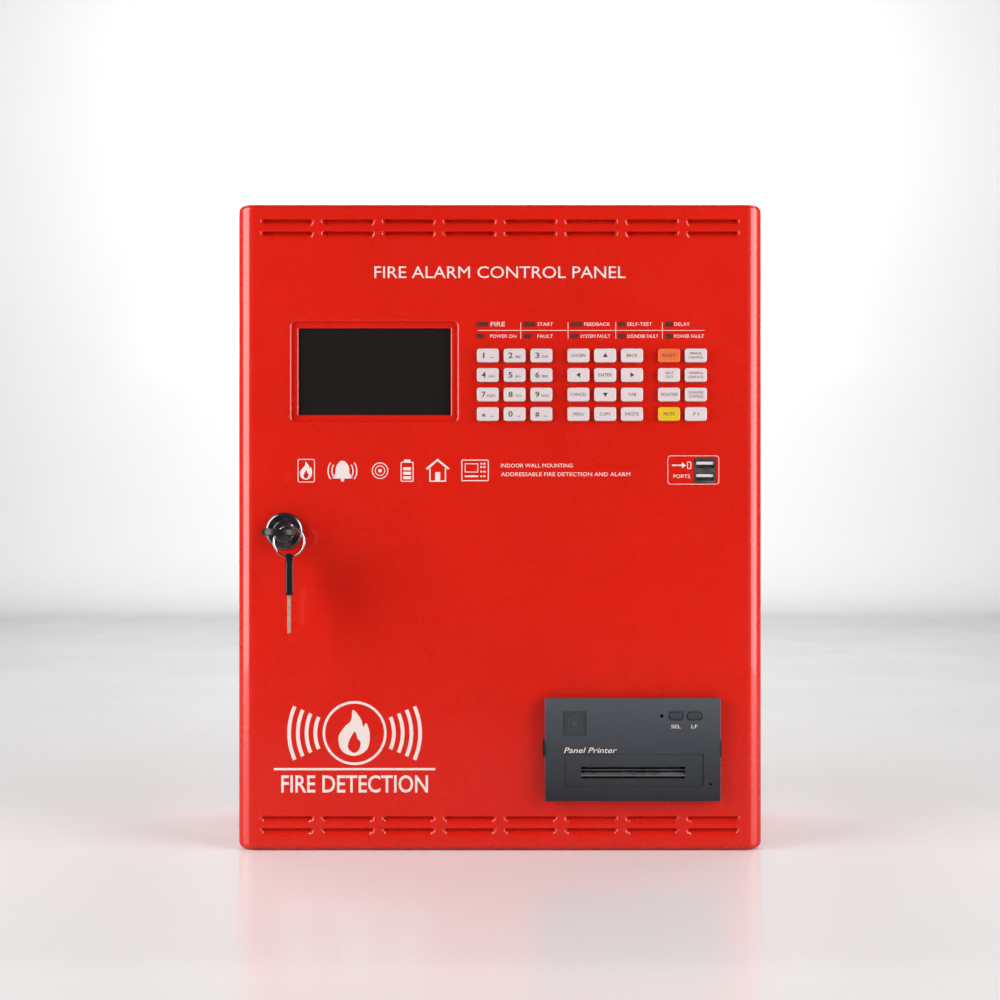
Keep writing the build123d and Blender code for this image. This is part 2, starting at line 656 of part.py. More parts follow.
# ---- Keypad ----
def make_key_cap(x, z):
    """Cap standing out of the door, a retaining flange behind the sheet and a stem to the switch."""
    flange_front = DOOR_INNER + 0.2
    flange_back = flange_front + KEY_FLANGE_T
    with BuildPart() as cap:
        add(plate(KEY_W, KEY_H, KEY_R, x, z, FRONT - KEY_PROUD, flange_front))
        fillet(cap.faces().sort_by(Axis.Y)[0].edges(), 0.7)
        grow = 2 * KEY_FLANGE
        add(plate(KEY_W + grow, KEY_H + grow, KEY_R, x, z, flange_front, flange_back))
        stem_end = BOARD_FRONT_Y - 3.9 - KEY_TRAVEL - 0.1
        add(rod(x, z, 1.8, flange_back, stem_end))
    return cap.part


# ---- Printer ----
def make_printer_housing():
    body_w, body_h = CUTOUT_W - 1, CUTOUT_H - 1
    flange_low, flange_high = COVER_PIVOT_Z + 3.4, COVER_BOTTOM + PRINTER_H - 2.5
    side_x = PRINTER_W / 2
    with BuildPart() as housing:
        flange_z = (flange_low + flange_high) / 2
        flange_h = flange_high - flange_low
        add(plate(PRINTER_W - 3, flange_h, 1.0, PRINTER_X, flange_z, FRONT - PRINTER_FLANGE_T, FRONT))
        add(plate(body_w, body_h, 1.0, PRINTER_X, CUTOUT_Z, FRONT, HOUSING_BACK))
        for side in (-1, 1):
            tab_x = PRINTER_X + side * (side_x - 0.6)
            add(block(tab_x - 1.9, tab_x + 1.9, FRONT - PRINTER_FLANGE_T, FRONT, -147.0, -136.0))
        mouth = plate(
            body_w - 4, body_h - 4, 1.0, PRINTER_X, CUTOUT_Z, FRONT - 2, HOUSING_BACK - 2
        )
        add(mouth, mode=Mode.SUBTRACT)
        inner = (PRINTER_X - body_w / 2 + 1, PRINTER_X + body_w / 2 - 1)
        add(cross_rod(ROLL_BORE_R - 0.1, *inner, ROLL_Y, ROLL_Z))
        rail_y = PLATEN_Y + PLATEN_R + 1.0
        add(block(*inner, rail_y, rail_y + 5, SLOT_Z - 6, SLOT_Z + 2))
        for side in (-1, 1):
            x = PRINTER_X + side * EAR_X
            x0, x1 = x - EAR_W / 2, x + EAR_W / 2
            add(cross_rod(EAR_R, x0, x1, COVER_PIVOT_Y, COVER_PIVOT_Z))
            neck_y = COVER_PIVOT_Y + 0.5
            add(block(x0, x1, neck_y, FRONT - 0.2, COVER_PIVOT_Z + 0.4, flange_low + 0.5))
        bore = cross_rod(TRUNNION_R + RUNNING, PRINTER_X - 60, PRINTER_X + 60, COVER_PIVOT_Y, COVER_PIVOT_Z)
        add(bore, mode=Mode.SUBTRACT)
        axle = cross_rod(PLATEN_AXLE_R + RUNNING, PRINTER_X - 60, PRINTER_X + 60, PLATEN_Y, SLOT_Z - 1)
        add(axle, mode=Mode.SUBTRACT)
    return housing.part


def make_printer_cover():
    top = COVER_BOTTOM + PRINTER_H
    half = PRINTER_W / 2
    with BuildPart() as cover:
        add(block(PRINTER_X - half, PRINTER_X + half, COVER_FRONT, COVER_BACK, COVER_BOTTOM, top))
        fillet(cover.edges().filter_by(Axis.X).group_by(Axis.Y)[-1].sort_by(Axis.Z)[0], 1.6)
        fillet(cover.faces().sort_by(Axis.Y)[0].edges(), 0.6)
        # Sunk field round the paper slot, and a sunk badge
        with BuildSketch(front_plane(COVER_FRONT)):
            with Locations((PRINTER_X + 0.8, -154.7)):
                RectangleRounded(89.0, 20.8, 0.5)
            with Locations((47.5, -125.0)):
                RectangleRounded(15.1, 15.9, 0.4)
            with Locations((SEL_X, BUTTON_Z)):
                RectangleRounded(9.8, 6.4, 2.2)
            with Locations((LF_X, BUTTON_Z)):
                RectangleRounded(10.6, 6.6, 3.25)
        extrude(amount=-0.5, mode=Mode.SUBTRACT)
        with BuildSketch(front_plane(COVER_FRONT)):
            with Locations((PRINTER_X + 0.3, SLOT_Z)):
                RectangleRounded(SLOT_W, SLOT_H, 0.6)
            with Locations((SEL_X, BUTTON_Z)):
                RectangleRounded(SEL_W + 0.5, SEL_H + 0.5, SEL_R + 0.25)
            with Locations((LF_X, BUTTON_Z)):
                RectangleRounded(LF_W + 0.5, LF_H + 0.5, LF_H / 2 + 0.2)
            with Locations((103.0, -120.3)):
                Circle(1.1)
            with Locations((134.0, -163.6)):
                Circle(0.8)
        extrude(amount=-COVER_T, mode=Mode.SUBTRACT)
        # Teeth of the tear edge, along the top of the slot
        teeth = 33
        pitch = (SLOT_W - 6) / teeth
        with BuildSketch(front_plane(COVER_FRONT + 1.2)):
            for i in range(teeth):
                with Locations((PRINTER_X + 0.3 - (teeth - 1) / 2 * pitch + i * pitch, SLOT_Z + 3.6)):
                    Triangle(a=pitch * 0.98, b=1.5, c=1.5, rotation=180)
        extrude(amount=-1.0)
        # Tear bar and paper guide across the slot, with the paper's way out between them
        bar_x0 = PRINTER_X + 0.3 - SLOT_W / 2 - 0.5
        bar_x1 = bar_x0 + SLOT_W + 1.0
        add(cross_rod(TEAR_BAR_R, bar_x0, bar_x1, COVER_FRONT + 2.9, SLOT_Z + 1.5))
        add(cross_rod(GUIDE_R, bar_x0, bar_x1, COVER_FRONT + 2.6, SLOT_Z - 1.5))
        # Room behind the buttons, and pockets for the hinge ears
        pocket = plate(
            26.0, 11.0, 1.0, (SEL_X + LF_X) / 2, BUTTON_Z, COVER_FRONT + 1.7, COVER_BACK
        )
        add(pocket, mode=Mode.SUBTRACT)
        for side in (-1, 1):
            x = PRINTER_X + side * EAR_X
            reach = EAR_W / 2 + 0.2
            pocket = block(
                x - reach, x + reach, COVER_FRONT + 0.8, COVER_BACK, COVER_BOTTOM, COVER_PIVOT_Z + 4.5
            )
            add(pocket, mode=Mode.SUBTRACT)
            add(cross_rod(TRUNNION_R, x - reach - 0.5, x + reach + 0.5, COVER_PIVOT_Y, COVER_PIVOT_Z))
            # Finger scoop at mid-height of each side
            scoop_x = PRINTER_X + side * (half + 10.8)
            add(rod(scoop_x, -141.5, 12.0, COVER_FRONT, COVER_FRONT + 3.0), mode=Mode.SUBTRACT)
    return cover.part


def make_platen_roller():
    end = CUTOUT_W / 2 - 0.6
    x = PRINTER_X
    with BuildPart() as roller:
        add(cross_rod(PLATEN_R, x - PLATEN_L / 2, x + PLATEN_L / 2, PLATEN_Y, SLOT_Z - 1))
        add(cross_rod(PLATEN_AXLE_R, x - end, x + end, PLATEN_Y, SLOT_Z - 1))
    return roller.part


def make_paper_roll():
    with BuildPart() as roll:
        add(cross_rod(ROLL_R, PRINTER_X - ROLL_L / 2, PRINTER_X + ROLL_L / 2, ROLL_Y, ROLL_Z))
        bore = cross_rod(ROLL_BORE_R, PRINTER_X - 40, PRINTER_X + 40, ROLL_Y, ROLL_Z)
        add(bore, mode=Mode.SUBTRACT)
    return roll.part


def make_printer_button(x, width, height, radius):
    """A button face with a wider foot behind the cover's skin."""
    foot_front = COVER_FRONT + 1.7 + 0.2
    with BuildPart() as button:
        add(plate(width, height, radius, x, BUTTON_Z, COVER_FRONT - 0.3, foot_front))
        fillet(button.faces().sort_by(Axis.Y)[0].edges(), 0.5)
        add(plate(width + 1.6, height + 1.6, radius, x, BUTTON_Z, foot_front, foot_front + 0.8))
    return button.part


# ---- Inside the box ----
def make_main_board():
    middle_z = (MAIN_Z0 + MAIN_Z1) / 2
    back = BOX_FLOOR - MAIN_STAND_OFF
    face = back - BOARD_T
    with BuildPart() as board:
        add(plate(MAIN_W, MAIN_Z1 - MAIN_Z0, 2.0, 0, middle_z, face, back))
        with BuildSketch(front_plane(face)):
            with Locations(*main_post_places()):
                Circle(SCREW_R + RUNNING)
        extrude(amount=-BOARD_T, mode=Mode.SUBTRACT)
        with BuildSketch(front_plane(face)):
            with Locations((-60, 110), (40, 120)):
                Rectangle(20, 20)
            with Locations((-100, 130), (-100, 90), (90, 80)):
                Rectangle(14, 9)
        extrude(amount=2.2)
        with BuildSketch(front_plane(face)):
            with GridLocations(19, 1, 4, 1):
                with Locations((70, 152)):
                    Rectangle(15.5, 19)
        extrude(amount=15)
        with BuildSketch(front_plane(face)):
            with Locations((-120, 152), (-104, 152), (-88, 152)):
                Circle(6.3)
        extrude(amount=20)
    return board.part


def make_terminal_blocks():
    face = BOX_FLOOR - MAIN_STAND_OFF - BOARD_T
    with BuildPart() as blocks:
        for i in range(6):
            x = (i - 2.5) * 42.0
            add(plate(40.6, 10.0, 0.4, x, MAIN_Z0 + 20, face - 12, face))
        add(plate(48.0, 24.0, 1.0, 80.0, -40.0, BOX_FLOOR - 22, BOX_FLOOR))
    return blocks.part


def make_power_supply():
    """A metal-cased supply with a fixing tab along its top."""
    x0, x1 = SUPPLY_X - SUPPLY_W / 2, SUPPLY_X + SUPPLY_W / 2
    z0, z1 = SUPPLY_Z - SUPPLY_H / 2, SUPPLY_Z + SUPPLY_H / 2
    with BuildPart() as supply:
        add(block(x0, x1, BOX_FLOOR - SUPPLY_D, BOX_FLOOR, z0, z1))
        add(block(x0, x1, BOX_FLOOR - 1.2, BOX_FLOOR, z1, z1 + 8))
        with BuildSketch(front_plane(BOX_FLOOR)):
            with Locations(*supply_screw_places()):
                Circle(SCREW_R + RUNNING)
        extrude(amount=1.2, mode=Mode.SUBTRACT)
    return supply.part


def make_batteries():
    z0 = -BOX_H / 2 + SHEET + 0.1
    y1 = BOX_FLOOR - 0.1
    with BuildPart() as batteries:
        for side in (-1, 1):
            x = side * (BATTERY_W / 2 + 0.5)
            add(plate(BATTERY_W, BATTERY_H, 3.0, x, z0 + BATTERY_H / 2, y1 - BATTERY_D, y1))
    return batteries.part


def make_battery_bracket():
    """A strap across both batteries, with a leg down each side and a foot on the back wall."""
    y_front = BOX_FLOOR - BATTERY_D - 1.8
    z0, z1 = STRAP_Z - STRAP_W / 2, STRAP_Z + STRAP_W / 2
    leg = BATTERY_W + 1.2
    with BuildPart() as strap:
        add(block(-leg - 1.5, leg + 1.5, y_front, y_front + 1.5, z0, z1))
        for side in (-1, 1):
            low, high = sorted((side * leg, side * (leg + 1.5)))
            add(block(low, high, y_front, BOX_FLOOR, z0, z1))
            low, high = sorted((side * leg, side * (leg + 9.0)))
            add(block(low, high, BOX_FLOOR - 1.5, BOX_FLOOR, z0, z1))
        with BuildSketch(front_plane(BOX_FLOOR)):
            with Locations(*strap_screw_places()):
                Circle(SCREW_R + RUNNING)
        extrude(amount=1.5, mode=Mode.SUBTRACT)
    return strap.part


def screw(x, z, seat_y, length, direction):
    """A pan-head screw: its head stands off seat_y and its shank runs the other way.

    direction is 1 when the head faces the door and -1 when it faces the wall.
    """
    head = sorted((seat_y, seat_y - direction * SCREW_HEAD_T))
    shank = sorted((seat_y, seat_y + direction * length))
    with BuildPart() as one:
        add(rod(x, z, SCREW_HEAD_R, *head))
        add(rod(x, z, SCREW_R, *shank))
    return one.part


def make_box_screws():
    board_face = BOX_FLOOR - MAIN_STAND_OFF - BOARD_T
    with BuildPart() as screws:
        for x, z in main_post_places():
            add(screw(x, z, board_face, 8.0, 1))
        for x, z in strap_screw_places():
            add(screw(x, z, BOX_FLOOR - 1.5, 2.4, 1))
        for x, z in supply_screw_places():
            add(screw(x, z, BOX_FLOOR - 1.2, 2.4, 1))
    return screws.part


def make_door_screws():
    with BuildPart() as screws:
        for x, z in BOARD_POSTS:
            add(screw(x, z, BOARD_FRONT_Y + BOARD_T, 7.0, -1))
    return screws.part


# ---- Build and export ----
os.makedirs("parts", exist_ok=True)
blank = key_blank()
pieces = {
    "back_box": make_back_box(),
    "door": make_door(),
    "hinge_pins": make_hinge_pins(),
    "lock_housing": make_lock_housing(),
    "lock_nut": make_lock_nut(),
    "lock_cylinder": make_lock_cylinder(),
    "lock_cam": make_lock_cam(),
    "inserted_key": make_inserted_key(blank),
    "key_ring": make_key_ring(),
    "spare_key": make_spare_key(blank),
    "display_window": make_display_window(),
    "display_module": make_display_module(),
    "front_board": make_front_board(),
    "led_lenses": make_led_lenses(),
    "data_sockets": make_data_sockets(),
    "printer_housing": make_printer_housing(),
    "printer_cover": make_printer_cover(),
    "platen_roller": make_platen_roller(),
    "paper_roll": make_paper_roll(),
    "printer_sel_button": make_printer_button(SEL_X, SEL_W, SEL_H, SEL_R),
    "printer_lf_button": make_printer_button(LF_X, LF_W, LF_H, LF_H / 2 - 0.05),
    "main_board": make_main_board(),
    "terminal_blocks": make_terminal_blocks(),
    "power_supply": make_power_supply(),
    "batteries": make_batteries(),
    "battery_bracket": make_battery_bracket(),
    "box_screws": make_box_screws(),
    "door_screws": make_door_screws(),
}
for name, x, z in key_places():
    pieces["key_" + name] = make_key_cap(x, z)
for name, piece in pieces.items():
    save(piece, name)
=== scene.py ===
"""Looks of the fire alarm control panel: paint, prints, display, lamps, keys and wiring.

Metres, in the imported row's frame: X to the viewer's right, Z up, the wall is Y = 0, the door faces -Y.
"""

import json
import math
import random

import bmesh
import bpy
from mathutils import Matrix, Vector

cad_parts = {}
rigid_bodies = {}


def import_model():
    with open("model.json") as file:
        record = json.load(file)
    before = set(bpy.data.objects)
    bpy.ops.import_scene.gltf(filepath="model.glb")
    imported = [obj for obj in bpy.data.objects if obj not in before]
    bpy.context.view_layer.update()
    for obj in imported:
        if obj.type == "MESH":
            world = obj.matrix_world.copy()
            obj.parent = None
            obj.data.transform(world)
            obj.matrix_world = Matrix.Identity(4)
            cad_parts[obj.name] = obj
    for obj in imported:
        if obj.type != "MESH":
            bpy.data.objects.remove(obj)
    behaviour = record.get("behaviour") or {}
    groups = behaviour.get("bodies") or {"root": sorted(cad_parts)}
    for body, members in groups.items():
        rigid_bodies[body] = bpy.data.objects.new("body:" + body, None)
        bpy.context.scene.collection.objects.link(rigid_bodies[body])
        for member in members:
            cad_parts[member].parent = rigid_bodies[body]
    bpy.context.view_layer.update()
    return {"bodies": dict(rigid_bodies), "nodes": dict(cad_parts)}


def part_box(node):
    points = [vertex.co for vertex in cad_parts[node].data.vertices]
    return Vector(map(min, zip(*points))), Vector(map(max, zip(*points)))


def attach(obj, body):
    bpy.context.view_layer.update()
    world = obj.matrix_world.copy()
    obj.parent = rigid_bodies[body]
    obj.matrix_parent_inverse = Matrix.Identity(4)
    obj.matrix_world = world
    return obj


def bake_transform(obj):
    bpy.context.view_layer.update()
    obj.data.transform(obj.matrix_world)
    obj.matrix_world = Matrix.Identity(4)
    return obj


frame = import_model()
NODES = frame["nodes"]
RNG = random.Random(11)
MM = 0.001

door_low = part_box("door")[0]
FACE_Y = door_low.y
PRINT_IN, PRINT_OUT = 0.03 * MM, 0.04 * MM  # how far a print is sunk in and stands off its face


# ---- Materials ----
NOISE_SPAN = 0.3, 0.7  # nearly all values of a noise lie between these


def new_material(name):
    """A node material with its shader and the object coordinates."""
    mat = bpy.data.materials.new(name)
    mat.use_nodes = True
    tree = mat.node_tree
    shader = tree.nodes["Principled BSDF"]
    place = tree.nodes.new("ShaderNodeTexCoord").outputs["Object"]
    return mat, tree, shader, place


def noise(tree, place, scale, detail=3.0, roughness=0.5, stretch=None):
    """A noise value with scale cycles per metre; stretch scales the three axes."""
    if stretch is not None:
        mapping = tree.nodes.new("ShaderNodeMapping")
        mapping.inputs["Scale"].default_value = stretch
        tree.links.new(place, mapping.inputs["Vector"])
        place = mapping.outputs["Vector"]
    node = tree.nodes.new("ShaderNodeTexNoise")
    node.inputs["Scale"].default_value = scale
    node.inputs["Detail"].default_value = detail
    node.inputs["Roughness"].default_value = roughness
    tree.links.new(place, node.inputs["Vector"])
    return node.outputs["Fac"]


def remap(tree, value, low, high, out_low, out_high):
    """The value's span low to high, mapped onto out_low to out_high and clamped."""
    node = tree.nodes.new("ShaderNodeMapRange")
    node.inputs["From Min"].default_value = low
    node.inputs["From Max"].default_value = high
    node.inputs["To Min"].default_value = out_low
    node.inputs["To Max"].default_value = out_high
    tree.links.new(value, node.inputs["Value"])
    return node.outputs["Result"]


def blend_colours(tree, factor, first, second):
    """A mix of two colours, each a tuple or an output socket."""
    node = tree.nodes.new("ShaderNodeMix")
    node.data_type = "RGBA"
    for socket, colour in ((node.inputs[6], first), (node.inputs[7], second)):
        if isinstance(colour, tuple):
            socket.default_value = (*colour, 1.0)
        else:
            tree.links.new(colour, socket)
    tree.links.new(factor, node.inputs[0])
    return node.outputs[2]


def add_bump(tree, shader, height, strength, distance):
    node = tree.nodes.new("ShaderNodeBump")
    node.inputs["Strength"].default_value = strength
    node.inputs["Distance"].default_value = distance
    tree.links.new(height, node.inputs["Height"])
    tree.links.new(node.outputs["Normal"], shader.inputs["Normal"])


GRAIN_HEIGHT, GRAIN_STRENGTH = 0.02 * MM, 0.25


def finish_material(
    name, colour, other, roughness, metallic=0.0, patch=14.0, grain=2600.0, stretch=None
):
    """A surface whose colour drifts between two tones, with uneven gloss and a fine grain.

    patch and grain are the cycles per metre of the drift and of the grain.
    """
    mat, tree, shader, place = new_material(name)
    drift = remap(tree, noise(tree, place, patch, 5.0, 0.6), *NOISE_SPAN, 0.0, 1.0)
    tree.links.new(blend_colours(tree, drift, colour, other), shader.inputs["Base Color"])
    shader.inputs["Metallic"].default_value = metallic
    fine = noise(tree, place, grain, 3.0, 0.6, stretch)
    gloss = remap(tree, noise(tree, place, patch * 3, 4.0, 0.6, stretch), *NOISE_SPAN, *roughness)
    tree.links.new(gloss, shader.inputs["Roughness"])
    add_bump(tree, shader, fine, GRAIN_STRENGTH, GRAIN_HEIGHT)
    return mat


RED_TONE, RED_OTHER = (0.76, 0.0145, 0.0052), (0.71, 0.0125, 0.0045)
SPECK_TONE, DUST_TONE = (0.60, 0.012, 0.005), (0.80, 0.25, 0.2)


def paint_material():
    """Gloss red stoved paint with orange peel, fine specks and a little dust."""
    mat, tree, shader, place = new_material("red_paint")
    drift = remap(tree, noise(tree, place, 9.0, 5.0, 0.6), 0.35, 0.65, 0.0, 1.0)
    base = blend_colours(tree, drift, RED_TONE, RED_OTHER)
    speck = remap(tree, noise(tree, place, 900.0, 2.0, 0.5), 0.66, 0.74, 0.0, 0.22)
    base = blend_colours(tree, speck, base, SPECK_TONE)
    dust = remap(tree, noise(tree, place, 60.0, 6.0, 0.75), 0.55, 0.8, 0.0, 0.02)
    base = blend_colours(tree, dust, base, DUST_TONE)
    tree.links.new(base, shader.inputs["Base Color"])
    gloss = remap(tree, noise(tree, place, 30.0, 5.0, 0.6), *NOISE_SPAN, 0.24, 0.31)
    tree.links.new(gloss, shader.inputs["Roughness"])
    shader.inputs["Specular IOR Level"].default_value = 0.28
    shader.inputs["Coat Weight"].default_value = 0.9
    shader.inputs["Coat Roughness"].default_value = 0.05
    peel = noise(tree, place, 420.0, 2.0, 0.5)
    add_bump(tree, shader, peel, 0.06, 0.00005)
    return mat


def glass_material():
    """Dark front glass of the display, with faint smears."""
    mat, tree, shader, place = new_material("display_glass")
    smear = remap(tree, noise(tree, place, 25.0, 6.0, 0.7, (1.0, 1.0, 3.0)), 0.4, 0.75, 0.03, 0.10)
    tree.links.new(smear, shader.inputs["Roughness"])
    tint = blend_colours(tree, noise(tree, place, 12.0), (0.034, 0.027, 0.025), (0.045, 0.038, 0.036))
    tree.links.new(tint, shader.inputs["Base Color"])
    shader.inputs["Transmission Weight"].default_value = 0.6
    shader.inputs["IOR"].default_value = 1.48
    return mat


def board_material(name, colour, other):
    """Solder mask with tracks showing through as a faint grid of raised lines."""
    mat, tree, shader, place = new_material(name)
    brick = tree.nodes.new("ShaderNodeTexBrick")
    brick.inputs["Scale"].default_value = 60.0
    brick.inputs["Mortar Size"].default_value = 0.012
    brick.offset = 0.37
    turn = tree.nodes.new("ShaderNodeMapping")
    turn.inputs["Rotation"].default_value = (math.pi / 2, 0.0, 0.0)
    tree.links.new(place, turn.inputs["Vector"])
    tree.links.new(turn.outputs["Vector"], brick.inputs["Vector"])
    brick.inputs["Color1"].default_value = (*colour, 1.0)
    brick.inputs["Color2"].default_value = (*(c * 0.85 for c in colour), 1.0)
    brick.inputs["Mortar"].default_value = (*other, 1.0)
    haze = remap(tree, noise(tree, place, 40.0, 4.0), *NOISE_SPAN, 0.0, 0.35)
    base = blend_colours(tree, haze, brick.outputs["Color"], colour)
    tree.links.new(base, shader.inputs["Base Color"])
    gloss = remap(tree, noise(tree, place, 80.0, 4.0), *NOISE_SPAN, 0.3, 0.5)
    tree.links.new(gloss, shader.inputs["Roughness"])
    add_bump(tree, shader, brick.outputs["Fac"], 0.2, 0.00004)
    return mat


def cover_material():
    """Matt moulded plastic of the printer's cover, with painted light making it lighter towards its top,
    and a fine grain.
    """
    mat, tree, shader, place = new_material("printer_cover_plastic")
    split = tree.nodes.new("ShaderNodeSeparateXYZ")
    tree.links.new(place, split.inputs["Vector"])
    low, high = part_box("printer_cover")
    # Painted light: the base colour lightens from the cover's bottom to its top, as if lit from above.
    rise = remap(tree, split.outputs["Z"], low.z, high.z, 0.0, 1.0)
    base = blend_colours(tree, rise, (0.018, 0.021, 0.027), (0.078, 0.088, 0.104))
    wear = remap(tree, noise(tree, place, 18.0, 5.0, 0.6), 0.35, 0.7, 0.0, 0.12)
    tree.links.new(blend_colours(tree, wear, base, (0.09, 0.095, 0.10)), shader.inputs["Base Color"])
    gloss = remap(tree, noise(tree, place, 40.0, 4.0, 0.6), *NOISE_SPAN, 0.40, 0.52)
    tree.links.new(gloss, shader.inputs["Roughness"])
    add_bump(tree, shader, noise(tree, place, 1500.0, 3.0, 0.6), 0.25, 0.00006)
    return mat


RED = paint_material()
GLASS = glass_material()
WHITE_PRINT = finish_material("white_print", (0.95, 0.82, 0.79), (0.90, 0.76, 0.73), (0.45, 0.6))
DARK_PRINT = finish_material("dark_print", (0.045, 0.045, 0.05), (0.07, 0.07, 0.075), (0.5, 0.65))
KEY_GREY = finish_material("key_grey", (0.82, 0.69, 0.70), (0.77, 0.65, 0.66), (0.42, 0.55))
KEY_ORANGE = finish_material("key_orange", (0.95, 0.19, 0.045), (0.88, 0.16, 0.035), (0.40, 0.52))
KEY_YELLOW = finish_material("key_yellow", (0.86, 0.56, 0.012), (0.80, 0.51, 0.012), (0.40, 0.52))
BLACK = finish_material("black_plastic", (0.010, 0.010, 0.011), (0.016, 0.016, 0.017), (0.22, 0.36))
LOCK_BLACK = finish_material(
    "lock_black", (0.34, 0.34, 0.36), (0.20, 0.20, 0.22), (0.20, 0.34), 1.0, 60.0
)
STEEL = finish_material(
    "plated_steel", (0.62, 0.62, 0.60), (0.52, 0.52, 0.50), (0.25, 0.40), 1.0, 30.0, 1800.0
)
CHROME = finish_material(
    "ring_chrome", (0.70, 0.70, 0.71), (0.60, 0.60, 0.61), (0.12, 0.22), 1.0, 60.0, 2500.0
)
BLADE_METAL = finish_material(
    "blade_metal", (0.95, 0.72, 0.52), (0.84, 0.62, 0.44), (0.26, 0.40), 0.55, 90.0, 2500.0
)
BRUSHED = (0.05, 1.0, 1.0)  # a grain drawn out along X
ALUMINIUM = finish_material(
    "supply_aluminium", (0.74, 0.75, 0.76), (0.66, 0.67, 0.68), (0.30, 0.42), 1.0, 20.0, 700.0, BRUSHED
)
LAMP = finish_material("lamp_lens", (0.13, 0.045, 0.04), (0.10, 0.035, 0.03), (0.15, 0.25))
COVER = cover_material()
GUIDE = finish_material("guide_metal", (0.78, 0.79, 0.80), (0.62, 0.63, 0.64), (0.24, 0.36), 1.0, 60.0)
HOUSING = finish_material("printer_plastic", (0.022, 0.024, 0.027), (0.03, 0.032, 0.036), (0.5, 0.65))
BUTTON = finish_material("button_plastic", (0.055, 0.060, 0.070), (0.045, 0.050, 0.058), (0.35, 0.5))
RUBBER = finish_material("roller_rubber", (0.012, 0.012, 0.012), (0.025, 0.024, 0.023), (0.2, 0.35))
PAPER = finish_material("roll_paper", (0.84, 0.83, 0.79), (0.78, 0.77, 0.73), (0.75, 0.9), grain=1200.0)
TERMINAL = finish_material("terminal_plastic", (0.03, 0.26, 0.10), (0.03, 0.21, 0.08), (0.35, 0.5))
BATTERY = finish_material("battery_plastic", (0.03, 0.031, 0.034), (0.04, 0.041, 0.045), (0.45, 0.6))
TONGUE = finish_material("white_plastic", (0.78, 0.78, 0.76), (0.72, 0.72, 0.70), (0.35, 0.5))
BOARD = board_material("board_green", (0.010, 0.11, 0.045), (0.02, 0.19, 0.08))
CABLE_RED = finish_material("cable_red", (0.55, 0.02, 0.015), (0.46, 0.02, 0.012), (0.35, 0.5))
CABLE_BLACK = finish_material("cable_black", (0.015, 0.015, 0.016), (0.025, 0.025, 0.026), (0.35, 0.5))
CABLE_GREEN = finish_material(
    "cable_green", (0.04, 0.32, 0.05), (0.55, 0.50, 0.03), (0.35, 0.5), patch=45.0
)
CABLE_GREY = finish_material(
    "cable_grey", (0.38, 0.38, 0.40), (0.32, 0.32, 0.34), (0.45, 0.6), patch=60.0
)

PLAIN_NODES = {
    "back_box": RED,
    "door": RED,
    "hinge_pins": STEEL,
    "lock_housing": LOCK_BLACK,
    "lock_nut": STEEL,
    "lock_cylinder": LOCK_BLACK,
    "lock_cam": STEEL,
    "key_ring": CHROME,
    "display_window": GLASS,
    "display_module": BLACK,
    "led_lenses": LAMP,
    "printer_housing": HOUSING,
    "platen_roller": RUBBER,
    "paper_roll": PAPER,
    "printer_sel_button": BUTTON,
    "printer_lf_button": BUTTON,
    "terminal_blocks": TERMINAL,
    "power_supply": ALUMINIUM,
    "batteries": BATTERY,
    "battery_bracket": STEEL,
    "box_screws": STEEL,
    "door_screws": STEEL,
}


def dress(node, *materials):
    """Replaces a CAD node's materials."""
    data = NODES[node].data
    data.materials.clear()
    for mat in materials:
        data.materials.append(mat)


def zone(node, slot, test):
    """Faces whose middle passes test take the node's material number slot."""
    for face in NODES[node].data.polygons:
        if test(face.center):
            face.material_index = slot


for node_name, material in PLAIN_NODES.items():
    dress(node_name, material)
for node_name in NODES:
    if node_name.startswith("key_") and node_name != "key_ring":
        dress(node_name, KEY_GREY)
dress("key_reset", KEY_ORANGE)
dress("key_mute", KEY_YELLOW)

# The keys: black bows and metal blades
BLADE_HALF, BOW_LENGTH = 1.02 * MM, 25.3 * MM
key_low, key_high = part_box("inserted_key")
key_z = (key_low.z + key_high.z) / 2
dress("inserted_key", BLACK, BLADE_METAL)
zone("inserted_key", 1, lambda c: c.y > key_low.y + BOW_LENGTH and abs(c.z - key_z) < BLADE_HALF)
spare_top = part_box("spare_key")[1].z
dress("spare_key", BLACK, BLADE_METAL)
zone("spare_key", 1, lambda c: c.z < spare_top - BOW_LENGTH - 0.2 * MM)

# The printer cover: metal tear bar and guide in its paper slot
cover_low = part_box("printer_cover")[0]
SLOT_X, SLOT_Z = cover_low.x + 56.3 * MM, cover_low.z + 18.15 * MM
SLOT_HALF, SLOT_BELOW, SLOT_ABOVE, SLOT_DEEP = 33.0 * MM, 3.2 * MM, 2.1 * MM, 0.9 * MM


def in_slot(c):
    """Whether a point of the printer cover is on the rods across its slot."""
    in_height = -SLOT_BELOW < c.z - SLOT_Z < SLOT_ABOVE
    return abs(c.x - SLOT_X) < SLOT_HALF and in_height and c.y > cover_low.y + SLOT_DEEP


dress("printer_cover", COVER, GUIDE)
zone("printer_cover", 1, in_slot)

# The data sockets: steel shells with a white tongue in each
socket_low, socket_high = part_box("data_sockets")
socket_middle = (socket_low + socket_high) / 2
SHELL_WALL, SOCKET_STEP = 0.45 * MM, 4.0 * MM
TONGUE_RISE, TONGUE_HALF_T, TONGUE_HALF_W = 0.9 * MM, 0.97 * MM, 5.6 * MM


def in_tongue(c):
    """Whether a point of the data sockets is on one of their two tongues."""
    rise = c.z - socket_middle.z - TONGUE_RISE
    in_height = any(abs(rise - side * SOCKET_STEP) < TONGUE_HALF_T for side in (-1, 1))
    return in_height and abs(c.x - socket_middle.x) < TONGUE_HALF_W and c.y > socket_low.y + SHELL_WALL


dress("data_sockets", STEEL, TONGUE)
zone("data_sockets", 1, in_tongue)

